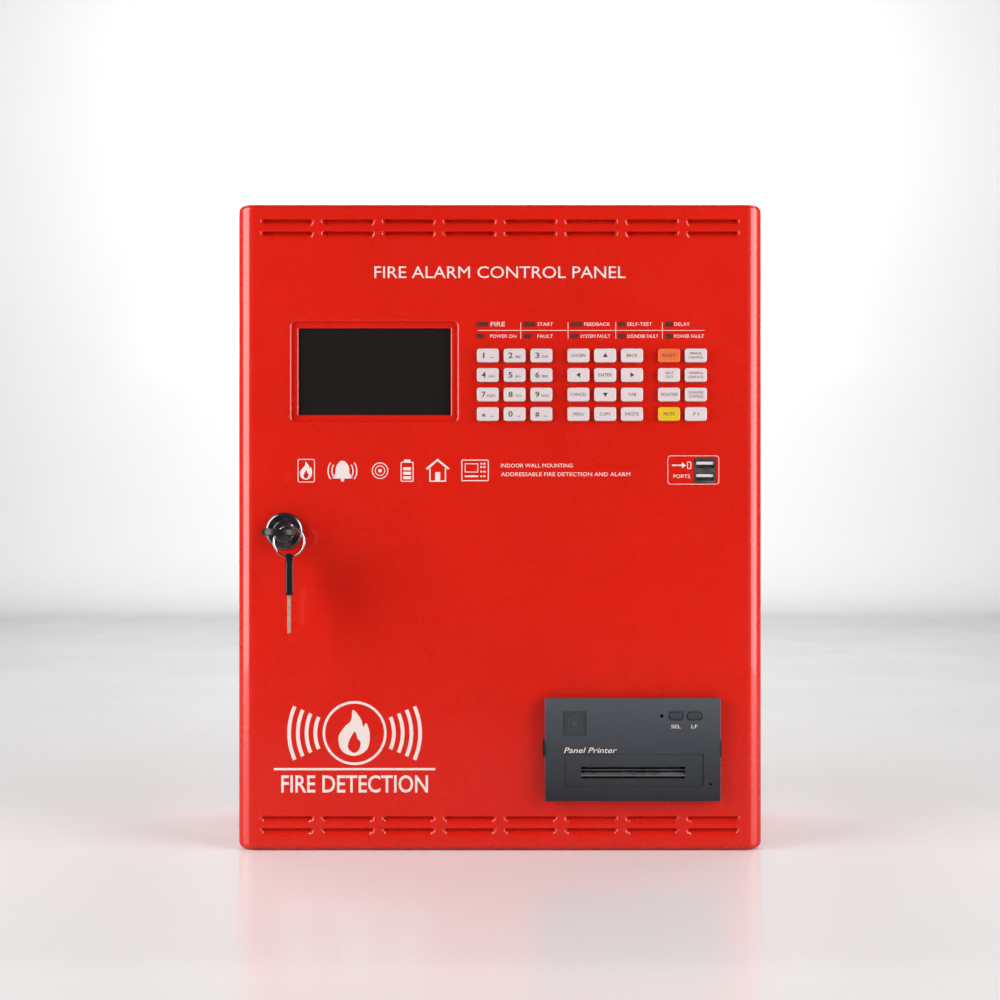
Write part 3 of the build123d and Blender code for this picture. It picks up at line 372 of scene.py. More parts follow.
# The boards: black components standing off green plates
BOARD_T, SHEET, TAIL = 1.6 * MM, 1.5 * MM, 2.5 * MM  # TAIL: components on the door board's back
NEAR = 0.1 * MM
board_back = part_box("front_board")[1].y - TAIL
board_face = board_back - BOARD_T
dress("front_board", BOARD, BLACK)
zone("front_board", 1, lambda c: c.y < board_face - NEAR or c.y > board_back + NEAR)
main_low, main_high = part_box("main_board")
main_face = main_high.y - BOARD_T
dress("main_board", BOARD, BLACK)
zone("main_board", 1, lambda c: c.y < main_face - NEAR)


# ---- Flat lettering and marks ----
HALF_THICK = 0.5  # marks are drawn 1 thick, and add_print thins them


def curve_mesh(curve):
    """The mesh that a curve makes."""
    holder = bpy.data.objects.new("outline", curve)
    bpy.context.scene.collection.objects.link(holder)
    view = bpy.context.evaluated_depsgraph_get()
    mesh = bpy.data.meshes.new_from_object(holder.evaluated_get(view))
    bpy.data.objects.remove(holder)
    return mesh


def text_mesh(text, slant=0.0, bold=0.0):
    """Lettering of size 1 and 1 thick, in the built-in font."""
    curve = bpy.data.curves.new("letters", "FONT")
    curve.body = text
    curve.size = 1.0
    curve.shear = slant
    curve.offset = bold
    curve.resolution_u = 3
    curve.extrude = HALF_THICK
    return curve_mesh(curve)


def outline_mesh(loops):
    """A flat plate 1 thick from closed loops of points; a loop inside another is a hole."""
    curve = bpy.data.curves.new("outline", "CURVE")
    curve.dimensions = "2D"
    curve.fill_mode = "BOTH"
    curve.extrude = HALF_THICK
    for loop in loops:
        spline = curve.splines.new("POLY")
        spline.points.add(len(loop) - 1)
        for point, (x, z) in zip(spline.points, loop):
            point.co = (x, z, 0.0, 1.0)
        spline.use_cyclic_u = True
    return curve_mesh(curve)


def extent(mesh):
    """The mesh's lowest and highest X, then its lowest and highest Y."""
    xs = [v.co.x for v in mesh.vertices]
    ys = [v.co.y for v in mesh.vertices]
    return min(xs), max(xs), min(ys), max(ys)


CAP_LOW, CAP_HIGH = extent(text_mesh("H"))[2:]
CAP = CAP_HIGH - CAP_LOW


def add_print(target, mesh, face_y, scale_x, scale_z, x, z):
    """Adds a flat mesh to target, scaled and set against a face that looks along -Y.

    Its thickness runs from just inside the face to just outside it.
    """
    thick = PRINT_IN + PRINT_OUT
    matrix = Matrix(
        (
            (scale_x, 0.0, 0.0, x),
            (0.0, 0.0, -thick, face_y + (PRINT_IN - PRINT_OUT) / 2),
            (0.0, scale_z, 0.0, z),
            (0.0, 0.0, 0.0, 1.0),
        )
    )
    mesh.transform(matrix)
    target.from_mesh(mesh)


def add_text(target, text, face_y, x, z, cap, width, align="left", slant=0.0, bold=0.0):
    """Lettering with its base at z and its height and width in millimetres."""
    mesh = text_mesh(text, slant, bold)
    left, right, _, _ = extent(mesh)
    scale_z = cap * MM / CAP
    scale_x = width * MM / (right - left)
    share = {"left": 0.0, "middle": 0.5, "right": 1.0}[align]
    start = x * MM - scale_x * (left + share * (right - left))
    add_print(target, mesh, face_y, scale_x, scale_z, start, z * MM)


def add_outline(target, loops, face_y, x=0.0, z=0.0, size=1.0):
    """A flat mark from loops in millimetres about (x, z)."""
    scale = MM * size
    add_print(target, outline_mesh(loops), face_y, scale, scale, x * MM, z * MM)


def rectangle(x0, x1, z0, z1):
    """Corners of a rectangle between two X and two Z."""
    return [(x0, z0), (x1, z0), (x1, z1), (x0, z1)]


def rounded(x0, x1, z0, z1, radius):
    """A rectangle with round corners."""
    steps = 5
    points = []
    corners = [(x1 - radius, z1 - radius, 0), (x0 + radius, z1 - radius, 90)]
    corners += [(x0 + radius, z0 + radius, 180), (x1 - radius, z0 + radius, 270)]
    for cx, cz, start in corners:
        for i in range(steps + 1):
            angle = math.radians(start + 90 * i / steps)
            points.append((cx + radius * math.cos(angle), cz + radius * math.sin(angle)))
    return points


def circle(cx, cz, radius, steps=40):
    """A circle as a closed loop of points."""
    turns = [2 * math.pi * i / steps for i in range(steps)]
    return [(cx + radius * math.cos(t), cz + radius * math.sin(t)) for t in turns]


def frame_loops(x0, x1, z0, z1, radius, line, inner_radius):
    """A thin frame with round corners: its outer and inner loops, line apart."""
    return [
        rounded(x0, x1, z0, z1, radius),
        rounded(x0 + line, x1 - line, z0 + line, z1 - line, inner_radius),
    ]


def arc_band(cx, cz, inner, outer, middle, half):
    """A band between two radii, over an arc half degrees to each side of middle."""
    steps = 16
    turns = [math.radians(middle - half + 2 * half * i / steps) for i in range(steps + 1)]
    outside = [(cx + outer * math.cos(t), cz + outer * math.sin(t)) for t in turns]
    inside = [(cx + inner * math.cos(t), cz + inner * math.sin(t)) for t in reversed(turns)]
    return outside + inside


def smooth_loop(points):
    """A closed Catmull-Rom curve through points."""
    steps = 6
    count = len(points)
    result = []
    for i in range(count):
        a, b, c, d = (points[(i + k) % count] for k in (-1, 0, 1, 2))
        for s in range(steps):
            t = s / steps
            weights = (
                -0.5 * t + t * t - 0.5 * t**3,
                1 - 2.5 * t * t + 1.5 * t**3,
                0.5 * t + 2 * t * t - 1.5 * t**3,
                -0.5 * t * t + 0.5 * t**3,
            )
            result.append(tuple(sum(w * p[k] for w, p in zip(weights, (a, b, c, d))) for k in (0, 1)))
    return result


def finish_piece(target, name, body, material, weld=True):
    """Makes a visible piece from a bmesh; it rides on body unless body is None."""
    if weld:
        bmesh.ops.remove_doubles(target, verts=target.verts, dist=1e-7)
    bmesh.ops.recalc_face_normals(target, faces=target.faces)
    data = bpy.data.meshes.new(name)
    target.to_mesh(data)
    target.free()
    for mat in material if isinstance(material, list) else [material]:
        data.materials.append(mat)
    piece = bpy.data.objects.new(name, data)
    bpy.context.scene.collection.objects.link(piece)
    if body is not None:
        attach(piece, body)
    return piece


FLAME_LEFT = [(0, -10), (-6, -7.5), (-7.5, -1), (-4.5, 4), (-1.5, 7), (-0.6, 12)]
FLAME_RIGHT = [(3.2, 7.5), (4.2, 4), (5.8, 5.6), (7.4, 0), (6, -7)]
FLAME = smooth_loop(FLAME_LEFT + FLAME_RIGHT)
FLAME_HOLE = smooth_loop(
    [(0, -8.6), (-2.8, -6.6), (-2.6, -3.2), (0.2, 1.6), (1.6, -1.8), (3.0, -3.4), (2.4, -6.8)]
)
BELL_LEFT = [(-5.5, -4), (-4, -1.5), (-3.6, 2.2), (-1.6, 5)]
BELL = smooth_loop(BELL_LEFT + [(0, 5.6)] + [(-x, z) for x, z in reversed(BELL_LEFT)] + [(0, -4.3)])


# Places and sizes on the door's face, in millimetres from its middle; arcs in degrees
GRID_Z, GRID_LINE, GRID_REACH, GRID_END = 126.0, 0.17, 5.3, 0.4
LEGEND_TOP_Z, LEGEND_LOW_Z, LEGEND_CAP, FIRE_CAP = 130.0, 122.3, 2.1, 2.8
SMALL_CAP = 2.4
FLAME_MARK, FLAME_MARK_SIZE = (-124.3, 35.6), 0.52
BELL_X, BELL_Z, BELL_SIZE, BELL_ARC_HALF = -101.0, 36.0, 1.15, 35
DETECTOR = (-76.9, 36.1)
EMBLEM_X, EMBLEM_Z, EMBLEM_SIZE, EMBLEM_ARC_HALF = -93.2, -132.1, 1.34, 24


def lamp_print(ink):
    """Lamp legends in a grid of fine lines."""
    add_outline(ink, [rectangle(-14.3, 131.0, GRID_Z - GRID_LINE, GRID_Z + GRID_LINE)], FACE_Y)
    for x in (13.3, 43.6, 74.2, 104.1):
        for side in (-1, 1):
            ends = sorted((GRID_Z + side * GRID_REACH, GRID_Z + side * GRID_END))
            add_outline(ink, [rectangle(x - GRID_LINE, x + GRID_LINE, *ends)], FACE_Y)
    legends = [
        ("FIRE", -6.0, 9.2, LEGEND_TOP_Z, FIRE_CAP),
        ("START", 24.0, 10.0, LEGEND_TOP_Z, LEGEND_CAP),
        ("FEEDBACK", 54.0, 16.7, LEGEND_TOP_Z, LEGEND_CAP),
        ("SELF-TEST", 81.5, 16.0, LEGEND_TOP_Z, LEGEND_CAP),
        ("DELAY", 111.7, 10.0, LEGEND_TOP_Z, LEGEND_CAP),
        ("POWER ON", -6.3, 16.7, LEGEND_LOW_Z, LEGEND_CAP),
        ("FAULT", 24.0, 10.0, LEGEND_LOW_Z, LEGEND_CAP),
        ("SYSTEM FAULT", 51.5, 19.2, LEGEND_LOW_Z, LEGEND_CAP),
        ("SOUNDER FAULT", 81.5, 19.9, LEGEND_LOW_Z, LEGEND_CAP),
        ("POWER FAULT", 111.7, 19.1, LEGEND_LOW_Z, LEGEND_CAP),
    ]
    for text, x, width, z, cap in legends:
        add_text(ink, text, FACE_Y, x, z - cap / 2, cap, width)


def socket_print(ink):
    """Frame round the data sockets, with an arrow into a socket and a legend."""
    add_outline(ink, frame_loops(107.4, 140.5, 27.3, 45.8, 2.0, 0.35, 1.65), FACE_Y)
    add_outline(ink, [rectangle(110.3, 116.6, 39.1, 40.0)], FACE_Y)
    add_outline(ink, [[(116.6, 37.6), (119.2, 39.55), (116.6, 41.5)]], FACE_Y)
    add_outline(ink, frame_loops(119.9, 122.6, 37.2, 41.9, 0.6, 0.5, 0.3), FACE_Y)
    add_text(ink, "PORTS", FACE_Y, 111.2, 31.4, 2.2, 10.6)


def sound_arcs(ink, x, z, radii, thick, half):
    """Arcs to the left and right of a point."""
    for side in (0, 180):
        for radius in radii:
            add_outline(ink, [arc_band(x, z, radius, radius + thick, side, half)], FACE_Y)


def pictograms(ink):
    """Generic marks: flame, sounder, detector, battery, building, panel."""
    add_outline(ink, frame_loops(-129.7, -118.7, 28.6, 43.6, 1.2, 0.5, 0.8), FACE_Y)
    add_outline(ink, [FLAME, FLAME_HOLE], FACE_Y, *FLAME_MARK, FLAME_MARK_SIZE)
    add_outline(ink, [BELL], FACE_Y, BELL_X, BELL_Z, BELL_SIZE)
    add_outline(ink, [circle(BELL_X, 30.2, 1.1)], FACE_Y)
    sound_arcs(ink, BELL_X, BELL_Z, (6.4, 8.8), 0.8, BELL_ARC_HALF)
    add_outline(ink, [circle(*DETECTOR, 5.3), circle(*DETECTOR, 4.7)], FACE_Y)
    add_outline(ink, [circle(*DETECTOR, 3.3), circle(*DETECTOR, 2.8)], FACE_Y)
    add_outline(ink, [circle(*DETECTOR, 1.2)], FACE_Y)
    add_outline(ink, frame_loops(-63.7, -55.4, 29.0, 41.8, 0.9, 0.6, 0.5), FACE_Y)
    add_outline(ink, [rectangle(-61.6, -57.5, 41.8, 43.2)], FACE_Y)
    for z in (30.6, 33.5, 36.4):
        add_outline(ink, [rectangle(-62.1, -57.0, z, z + 1.9)], FACE_Y)
    roof = [(-47.7, 37.4), (-40.0, 43.8), (-32.2, 37.4), (-33.4, 36.8), (-40.0, 42.2), (-46.5, 36.8)]
    add_outline(ink, [roof], FACE_Y)
    outside = [(-45.3, 37.1), (-45.3, 29.0), (-34.6, 29.0), (-34.6, 37.1)]
    inside = [(-35.4, 37.8), (-35.4, 29.8), (-44.5, 29.8), (-44.5, 37.8)]
    add_outline(ink, [outside + inside], FACE_Y)
    add_outline(ink, [rectangle(-41.6, -38.3, 29.8, 35.2)], FACE_Y)
    add_outline(ink, frame_loops(-24.8, -7.2, 29.4, 43.2, 1.0, 0.6, 0.6), FACE_Y)
    add_outline(ink, [rectangle(-22.6, -14.0, 35.0, 40.8), rectangle(-22.1, -14.5, 35.5, 40.3)], FACE_Y)
    for x in (-12.6, -10.6):
        for z in (32.0, 34.9, 37.8, 40.0):
            add_outline(ink, [rectangle(x, x + 1.2, z, z + 1.1)], FACE_Y)
    add_outline(ink, [rectangle(-22.6, -14.0, 32.0, 33.0)], FACE_Y)


def emblem(ink):
    """A generic emblem, a rule and two words in the lower left."""
    rim = [circle(EMBLEM_X, EMBLEM_Z, radius, 72) for radius in (20.5, 18.9)]
    add_outline(ink, rim, FACE_Y)
    add_outline(ink, [FLAME, FLAME_HOLE], FACE_Y, EMBLEM_X - 0.2, EMBLEM_Z - 1.2, EMBLEM_SIZE)
    sound_arcs(ink, EMBLEM_X, EMBLEM_Z, (24.0, 29.6, 35.2, 40.8), 2.4, EMBLEM_ARC_HALF)
    add_outline(ink, [rectangle(-144.9, -41.5, -155.9, -154.5)], FACE_Y)
    add_text(ink, "FIRE DETECTION", FACE_Y, EMBLEM_X, -170.0, 10.6, 94.0, "middle", bold=EMBLEM_BOLD)


def door_print():
    """White lettering and marks printed on the door."""
    ink = bmesh.new()
    add_text(ink, "FIRE ALARM CONTROL PANEL", FACE_Y, 0.0, 159.6, 7.4, 161.0, "middle")
    lamp_print(ink)
    socket_print(ink)
    pictograms(ink)
    add_text(ink, "INDOOR WALL MOUNTING", FACE_Y, 0.6, 38.2, SMALL_CAP, 46.0)
    add_text(ink, "ADDRESSABLE FIRE DETECTION AND ALARM", FACE_Y, 0.6, 32.6, SMALL_CAP, 82.9)
    emblem(ink)
    finish_piece(ink, "door_print", "door", WHITE_PRINT)


KEY_LEGENDS = {
    "1": "1",
    "2": "2 ABC",
    "3": "3 DEF",
    "4": "4 GHI",
    "5": "5 JKL",
    "6": "6 MNO",
    "7": "7 PQRS",
    "8": "8 TUV",
    "9": "9 WXYZ",
    "star": "*",
    "0": "0",
    "hash": "#",
    "login": "LOGIN",
    "back": "BACK",
    "enter": "ENTER",
    "cancel": "CANCEL",
    "tab": "TAB",
    "menu": "MENU",
    "copy": "COPY",
    "paste": "PASTE",
    "reset": "RESET",
    "mute": "MUTE",
    "f1": "F1",
    "manual_control": "MANUAL/CONTROL",
    "self_test": "SELF/TEST",
    "general_linkage": "GENERAL/LINKAGE",
    "isolation": "ISOLATION",
    "sounder_control": "SOUNDER/CONTROL",
}
ARROW_TURNS = {"up": 0, "left": 90, "down": 180, "right": 270}
# Sizes of the key legends in millimetres; the places are from the middle of a key
ARROW = [(0.0, 1.5), (-1.6, -1.1), (1.6, -1.1)]
WORD_CAP, TWO_LINE_CAP, LINE_STEP, LETTER_SHARE, WORD_LIMIT = 2.0, 1.55, 2.6, 0.86, 10.6
DIGIT_CAP, DIGIT_WIDTH, ONE_WIDTH, DIGIT_LEFT, DIGIT_DROP, STAR_DROP = 3.4, 2.7, 0.85, 2.6, 1.7, 3.3
BESIDE_CAP, BESIDE_RIGHT, BESIDE_DROP = 1.5, 2.3, 0.85
DASH_RIGHT, DASH_DROP = 2.6, 1.6
DIGIT_BOLD, EMBLEM_BOLD, PRINTER_SLANT = 0.015, 0.012, 0.25
DASH = [(-1.1, 0.0), (1.1, 0.0), (1.1, 0.35), (-1.1, 0.35)]


def key_words(ink, lines, x, z, cap, y):
    """Lines of small lettering, centred on a point."""
    for i, line in enumerate(lines):
        base = z - cap / 2 + ((len(lines) - 1) / 2 - i) * LINE_STEP
        width = min(WORD_LIMIT, len(line) * cap * LETTER_SHARE)
        add_text(ink, line, y, x, base, cap, width, "middle")


def key_print(name):
    """The legend on one key, moving with it."""
    low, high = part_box("key_" + name)
    x, z, y = (low.x + high.x) / 2 / MM, (low.z + high.z) / 2 / MM, low.y
    ink = bmesh.new()
    if name in ARROW_TURNS:
        turn = math.radians(ARROW_TURNS[name])
        cosine, sine = math.cos(turn), math.sin(turn)
        add_outline(ink, [[(a * cosine - b * sine, a * sine + b * cosine) for a, b in ARROW]], y, x, z)
    elif name.isdigit() or name in ("star", "hash"):
        digit, _, word = KEY_LEGENDS[name].partition(" ")
        width = ONE_WIDTH if name == "1" else DIGIT_WIDTH
        base = z - (STAR_DROP if name == "star" else DIGIT_DROP)
        left = x - DIGIT_LEFT
        add_text(ink, digit, y, left, base, DIGIT_CAP, width, "middle", bold=DIGIT_BOLD)
        if word:
            key_words(ink, [word], x + BESIDE_RIGHT, z - BESIDE_DROP, BESIDE_CAP, y)
        else:
            add_outline(ink, [DASH], y, x + DASH_RIGHT, z - DASH_DROP)
    else:
        lines = KEY_LEGENDS[name].split("/")
        key_words(ink, lines, x, z, TWO_LINE_CAP if len(lines) == 2 else WORD_CAP, y)
    finish_piece(ink, "legend_" + name, "key_" + name, DARK_PRINT)


BUTTON_WORD_Z, BADGE, BADGE_SUNK = -128.0, (47.5, -125.0), 0.5 * MM


def printer_print():
    """Pale lettering on the printer cover, and a plain badge in its recess."""
    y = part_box("printer_cover")[0].y
    ink = bmesh.new()
    add_text(ink, "SEL", y, 112.0, BUTTON_WORD_Z, 2.2, 6.0, "middle")
    add_text(ink, "LF", y, 123.8, BUTTON_WORD_Z, 2.2, 3.9, "middle")
    add_text(ink, "Panel Printer", y, 40.8, -143.7, 3.4, 33.6, slant=PRINTER_SLANT)
    finish_piece(ink, "printer_print", "printer_cover", WHITE_PRINT)
    ink = bmesh.new()
    plate = rounded(40.6, 54.4, -132.2, -117.8, 0.6)
    add_outline(ink, [plate, circle(*BADGE, 4.6)], y + BADGE_SUNK)
    add_outline(ink, [circle(*BADGE, 3.9), circle(*BADGE, 2.0)], y + BADGE_SUNK)
    finish_piece(ink, "printer_badge", "printer_cover", BUTTON)


door_print()
for key_node in frame["bodies"]:
    if key_node.startswith("key_") and key_node != "key_ring":
        key_print(key_node[4:])
printer_print()


# ---- Wiring inside ----
def smooth_path(points):
    """An open Catmull-Rom curve through points."""
    steps = 10
    vectors = [Vector(p) for p in points]
    path = []
    for i in range(len(vectors) - 1):
        a, b = vectors[max(i - 1, 0)], vectors[i]
        c, d = vectors[i + 1], vectors[min(i + 2, len(vectors) - 1)]
        for s in range(steps):
            t = s / steps
            square = (2 * a - 5 * b + 4 * c - d) * t * t
            cube = (3 * b - a - 3 * c + d) * t**3
            path.append(0.5 * (2 * b + (c - a) * t + square + cube))
    path.append(vectors[-1])
    return path


def ahead_of(path, i):
    """The path's direction at its point i, not normalised."""
    return path[min(i + 1, len(path) - 1)] - path[max(i - 1, 0)]


def skin(target, rings, index=0):
    """Smooth faces between rings of the same count, closed at both ends."""
    for near, far in zip(rings, rings[1:]):
        for k in range(len(near)):
            nxt = (k + 1) % len(near)
            face = target.faces.new((near[k], near[nxt], far[nxt], far[k]))
            face.smooth = True
            face.material_index = index
    target.faces.new(rings[0]).material_index = index
    target.faces.new(list(reversed(rings[-1]))).material_index = index


def tube(target, points, radius, index=0):
    """A round cable through points, smoothed, with closed ends."""
    sides = 10
    path = smooth_path(points)
    rings = []
    up = Vector((0.31, 0.17, 0.93))  # any direction that no cable runs along
    for i, point in enumerate(path):
        ahead = ahead_of(path, i)
        side = ahead.cross(up).normalized()
        up = side.cross(ahead).normalized()
        ring = []
        for k in range(sides):
            turn = 2 * math.pi * k / sides
            reach = math.cos(turn) * side + math.sin(turn) * up
            ring.append(target.verts.new(point + radius * reach))
        rings.append(ring)
    skin(target, rings, index)


def cuboid(target, low, high, index=0, bevel=0.0):
    """A box between two corners, with its edges bevelled."""
    xs, ys, zs = zip(low, high)
    verts = [target.verts.new(Vector((x, y, z))) for x in xs for y in ys for z in zs]
    quads = ((0, 1, 3, 2), (4, 6, 7, 5), (0, 4, 5, 1), (2, 3, 7, 6), (0, 2, 6, 4), (1, 5, 7, 3))
    faces = [target.faces.new([verts[i] for i in quad]) for quad in quads]
    for face in faces:
        face.material_index = index
    if bevel:
        edges = list(dict.fromkeys(e for f in faces for e in f.edges))
        bmesh.ops.bevel(target, geom=edges, offset=bevel, segments=2, affect="EDGES", profile=0.5)


def block(target, x, y, z, index=0, bevel=0.0):
    """A cuboid from pairs of low and high values."""
    cuboid(target, *zip(x, y, z), index, bevel)


LEAD_R = 1.2 * MM
SPADE_HALF, SPADE_T, SPADE_IN = 3.1 * MM, 0.8 * MM, 18 * MM
SLEEVE_HALF, SLEEVE_OUT, SLEEVE_LOW, SLEEVE_TOP = 4 * MM, 2 * MM, 2.5 * MM, 9 * MM
INLET_X, INLET_Z, INLET_FACE = 80.0 * MM, -36.0 * MM, -23.5 * MM


def battery_lead(mesh, x, y, top, end, index):
    """A lead from a terminal at (x, y) on a battery's top up to end, under the supply."""
    over = top + 14 * MM
    points = [
        (x, y + 0.4 * MM, top + 8 * MM),
        (x, y + 0.4 * MM, over),
        (x + (end.x - x) * 0.3, y + 6 * MM, over + 2 * MM),
        (x + (end.x - x) * 0.8, end.y - 2 * MM, end.z - 6 * MM),
        (end.x, end.y, end.z - 3 * MM),
        (end.x, end.y, end.z + 2 * MM),
    ]
    tube(mesh, points, LEAD_R, index)


def box_leads():
    """Spade terminals on the batteries, the leads from them, and the mains leads to the supply."""
    low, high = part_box("batteries")
    supply_low, supply_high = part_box("power_supply")
    mesh = bmesh.new()
    y = low.y + SPADE_IN
    for battery in (0, 1):
        half = (high.x - low.x) / 2
        for share, index in ((0.18, 1), (0.82, 2)):
            x = low.x + (battery + share) * half
            spade_z = (high.z - 1 * MM, high.z + 5 * MM)
            block(mesh, (x - SPADE_HALF, x + SPADE_HALF), (y, y + SPADE_T), spade_z, 0, 0.2 * MM)
            sleeve_x = (x - SLEEVE_HALF, x + SLEEVE_HALF)
            sleeve_y = (y - SLEEVE_OUT, y + SPADE_T + SLEEVE_OUT)
            sleeve_z = (high.z + SLEEVE_LOW, high.z + SLEEVE_TOP)
            block(mesh, sleeve_x, sleeve_y, sleeve_z, index, 0.6 * MM)
            end_x = supply_low.x + (16 + 14 * battery + 6 * index) * MM
            end = Vector((end_x, supply_low.y + 8 * MM, supply_low.z))
            battery_lead(mesh, x, y, high.z, end, index)
    for k, index in ((0, 1), (1, 2)):
        z = INLET_Z - 6.0 * k * MM
        points = [
            (57.0 * MM, -14.0 * MM, z),
            (44.0 * MM, -17.0 * MM, z - 1.0 * MM),
            (24.0 * MM, -18.0 * MM, z - 3.0 * MM),
            (supply_high.x - 1.0 * MM, -17.0 * MM, z - 3.0 * MM),
        ]
        tube(mesh, points, LEAD_R, index)
    finish_piece(mesh, "battery_leads", "box", [STEEL, CABLE_RED, CABLE_BLACK], weld=False)


def case_details():
    """Vent holes in the supply's case as flat black discs of painted shade, and the lid seams of the
    batteries.
    """
    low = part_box("power_supply")[0]
    ink = bmesh.new()
    # Each vent is a flat black disc on the case: painted shade where a hole would be.
    for i in range(14):
        for j in range(4):
            x = low.x / MM + 15.0 + 10.0 * i
            z = low.z / MM + 55.0 + 8.0 * j
            add_outline(ink, [circle(x, z, 1.7, 14)], low.y)
    finish_piece(ink, "supply_vents", "box", BLACK)
    low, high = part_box("batteries")
    ink = bmesh.new()
    seam = high.z / MM - 9.0
    for left, right in ((low.x / MM + 1.5, -1.5), (1.5, high.x / MM - 1.5)):
        add_outline(ink, [rectangle(left, right, seam, seam + 0.6)], low.y)
    finish_piece(ink, "battery_seams", "box", CABLE_GREY)


CLAMP_ROW_Z, SOCKET_ROW_Z, CHIP_ROW_Z = (main_low.z + rise * MM for rise in (20, 58, 76))
CLAMP_PITCH, BLOCK_PITCH = 5.0 * MM, 42.0 * MM
TERMINAL_T = 12 * MM


def board_details():
    """Screws of the mains inlet and the terminal blocks, with the terminal screws' slots as black bars
    of painted shade, and sockets and chips on the main board.
    """
    mesh = bmesh.new()
    screw = [circle(0.0, 0.0, 3.2, 20), rectangle(-2.3, 2.3, -0.4, 0.4)]
    for k in range(4):
        add_outline(mesh, screw, INLET_FACE, INLET_X / MM + (k - 1.5) * 11.5, INLET_Z / MM)
    face = main_face - TERMINAL_T
    clamp_y, slot_y = (face - 0.25 * MM, face + 0.3 * MM), (face - 0.35 * MM, face - 0.1 * MM)
    clamp_z = (CLAMP_ROW_Z + 0.2 * MM, CLAMP_ROW_Z + 4.0 * MM)
    slot_z = (CLAMP_ROW_Z + 0.6 * MM, CLAMP_ROW_Z + 3.6 * MM)
    for i in range(6):
        for k in range(8):
            x = (i - 2.5) * BLOCK_PITCH + (k - 3.5) * CLAMP_PITCH
            block(mesh, (x - 1.9 * MM, x + 1.9 * MM), clamp_y, clamp_z, 0, 0.2 * MM)
            # The screw's slot is a black bar standing just proud of the clamp: painted shade for its
            # groove.
            block(mesh, (x - 0.35 * MM, x + 0.35 * MM), slot_y, slot_z, 1)
    for i in range(6):
        x = main_low.x + (28 + 24 * i) * MM
        z = SOCKET_ROW_Z
        block(mesh, (x, x + 16 * MM), (main_face - 9 * MM, main_face), (z, z + 6 * MM), 2, 0.4 * MM)
    for i in range(26):
        x = main_low.x + (20 + 9 * i) * MM
        z = CHIP_ROW_Z + RNG.uniform(-3, 3) * MM
        chip_y = (main_face - 0.9 * MM, main_face)
        block(mesh, (x, x + 3.2 * MM), chip_y, (z, z + 1.6 * MM), 1, 0.1 * MM)
    finish_piece(mesh, "board_details", "box", [STEEL, CABLE_BLACK, TONGUE], weld=False)


RIBBON_Z, RIBBON_HALF, RIBBON_T = 66.0 * MM, 16.0 * MM, 0.9 * MM
RIBS, RIB_HOLLOW = 12, 0.65


def ribbon_cable():
    """A flat cable from the main board to the door's board, bending at the hinge."""
    points = [
        (112.0 * MM, main_face - 7.0 * MM, 0.0),
        (124.0 * MM, -34.0 * MM, 0.0),
        (137.0 * MM, -58.0 * MM, 0.0),
        (141.0 * MM, -80.0 * MM, 0.0),
        (136.0 * MM, -97.0 * MM, 0.0),
        (127.0 * MM, -104.5 * MM, 0.0),
        (118.0 * MM, board_back + 0.2 * MM, 0.0),
    ]
    path = smooth_path(points)
    mesh = bmesh.new()
    rings = []
    for i, point in enumerate(path):
        ahead = ahead_of(path, i).normalized()
        across = Vector((-ahead.y, ahead.x, 0.0))
        ring = []
        for side in (1, -1):
            for k in range(2 * RIBS + 1):
                z = RIBBON_Z + side * RIBBON_HALF * (k / RIBS - 1)
                bulge = 1.0 if k % 2 else RIB_HOLLOW
                out = across * (side * RIBBON_T / 2 * bulge)
                ring.append(mesh.verts.new(point + out + Vector((0, 0, z))))
        rings.append(ring)
    skin(mesh, rings)
    piece = finish_piece(mesh, "ribbon_cable", None, CABLE_GREY, weld=False)
    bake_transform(piece)


def ribbon_ends():
    """The sockets that the ribbon cable plugs into."""
    reach = RIBBON_HALF + 2 * MM
    z = (RIBBON_Z - reach, RIBBON_Z + reach)
    mesh = bmesh.new()
    y = (main_face - 9.5 * MM, main_face + 0.2 * MM)
    block(mesh, (105.0 * MM, 114.0 * MM), y, z, 0, 0.5 * MM)
    finish_piece(mesh, "ribbon_socket", "box", BLACK, weld=False)
    mesh = bmesh.new()
    y = (board_back, board_back + 5.5 * MM)
    block(mesh, (113.0 * MM, 121.5 * MM), y, z, 0, 0.5 * MM)
    finish_piece(mesh, "ribbon_header", "door", BLACK, weld=False)


EARTH_Z, EARTH_R, LUG_HALF, LUG_BEVEL = -92.0 * MM, 1.6 * MM, 3.5 * MM, 0.4 * MM


def earth_strap():
    """A green and yellow lead from the box's side to the door, near the bottom hinge."""
    points = [
        (150.0 * MM, -30.0 * MM, EARTH_Z),
        (146.0 * MM, -50.0 * MM, EARTH_Z),
        (144.0 * MM, -75.0 * MM, EARTH_Z),
        (142.0 * MM, -98.0 * MM, EARTH_Z),
        (143.0 * MM, -112.0 * MM, EARTH_Z),
        (143.0 * MM, FACE_Y + 1.6 * MM, EARTH_Z),
    ]
    mesh = bmesh.new()
    tube(mesh, points, EARTH_R)
    piece = finish_piece(mesh, "earth_lead", None, CABLE_GREEN, weld=False)
    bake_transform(piece)
    z = (EARTH_Z - LUG_HALF, EARTH_Z + LUG_HALF)
    mesh = bmesh.new()
    block(mesh, (149.0 * MM, 162.0 * MM), (-34.0 * MM, -32.5 * MM), z, 0, LUG_BEVEL)
    finish_piece(mesh, "earth_lug", "box", STEEL, weld=False)
    inside = FACE_Y + SHEET
    mesh = bmesh.new()
    block(mesh, (138.5 * MM, 147.5 * MM), (inside, inside + 1.2 * MM), z, 0, LUG_BEVEL)
    finish_piece(mesh, "door_lug", "door", STEEL, weld=False)


box_leads()
case_details()
board_details()
ribbon_cable()
ribbon_ends()
earth_strap()


# ---- Stage ----
FLOOR_HALF, FLOOR_FRONT, FLOOR_BACK, SWEEP_R, WALL_TOP = 14.0, -4.0, 1.6, 0.8, 1.5
FLOOR_GAP = 0.4 * MM
WORLD_SIDE, WORLD_BEHIND, WORLD_ABOVE = 0.17, 0.03, 0.15  # the room's brightness by direction


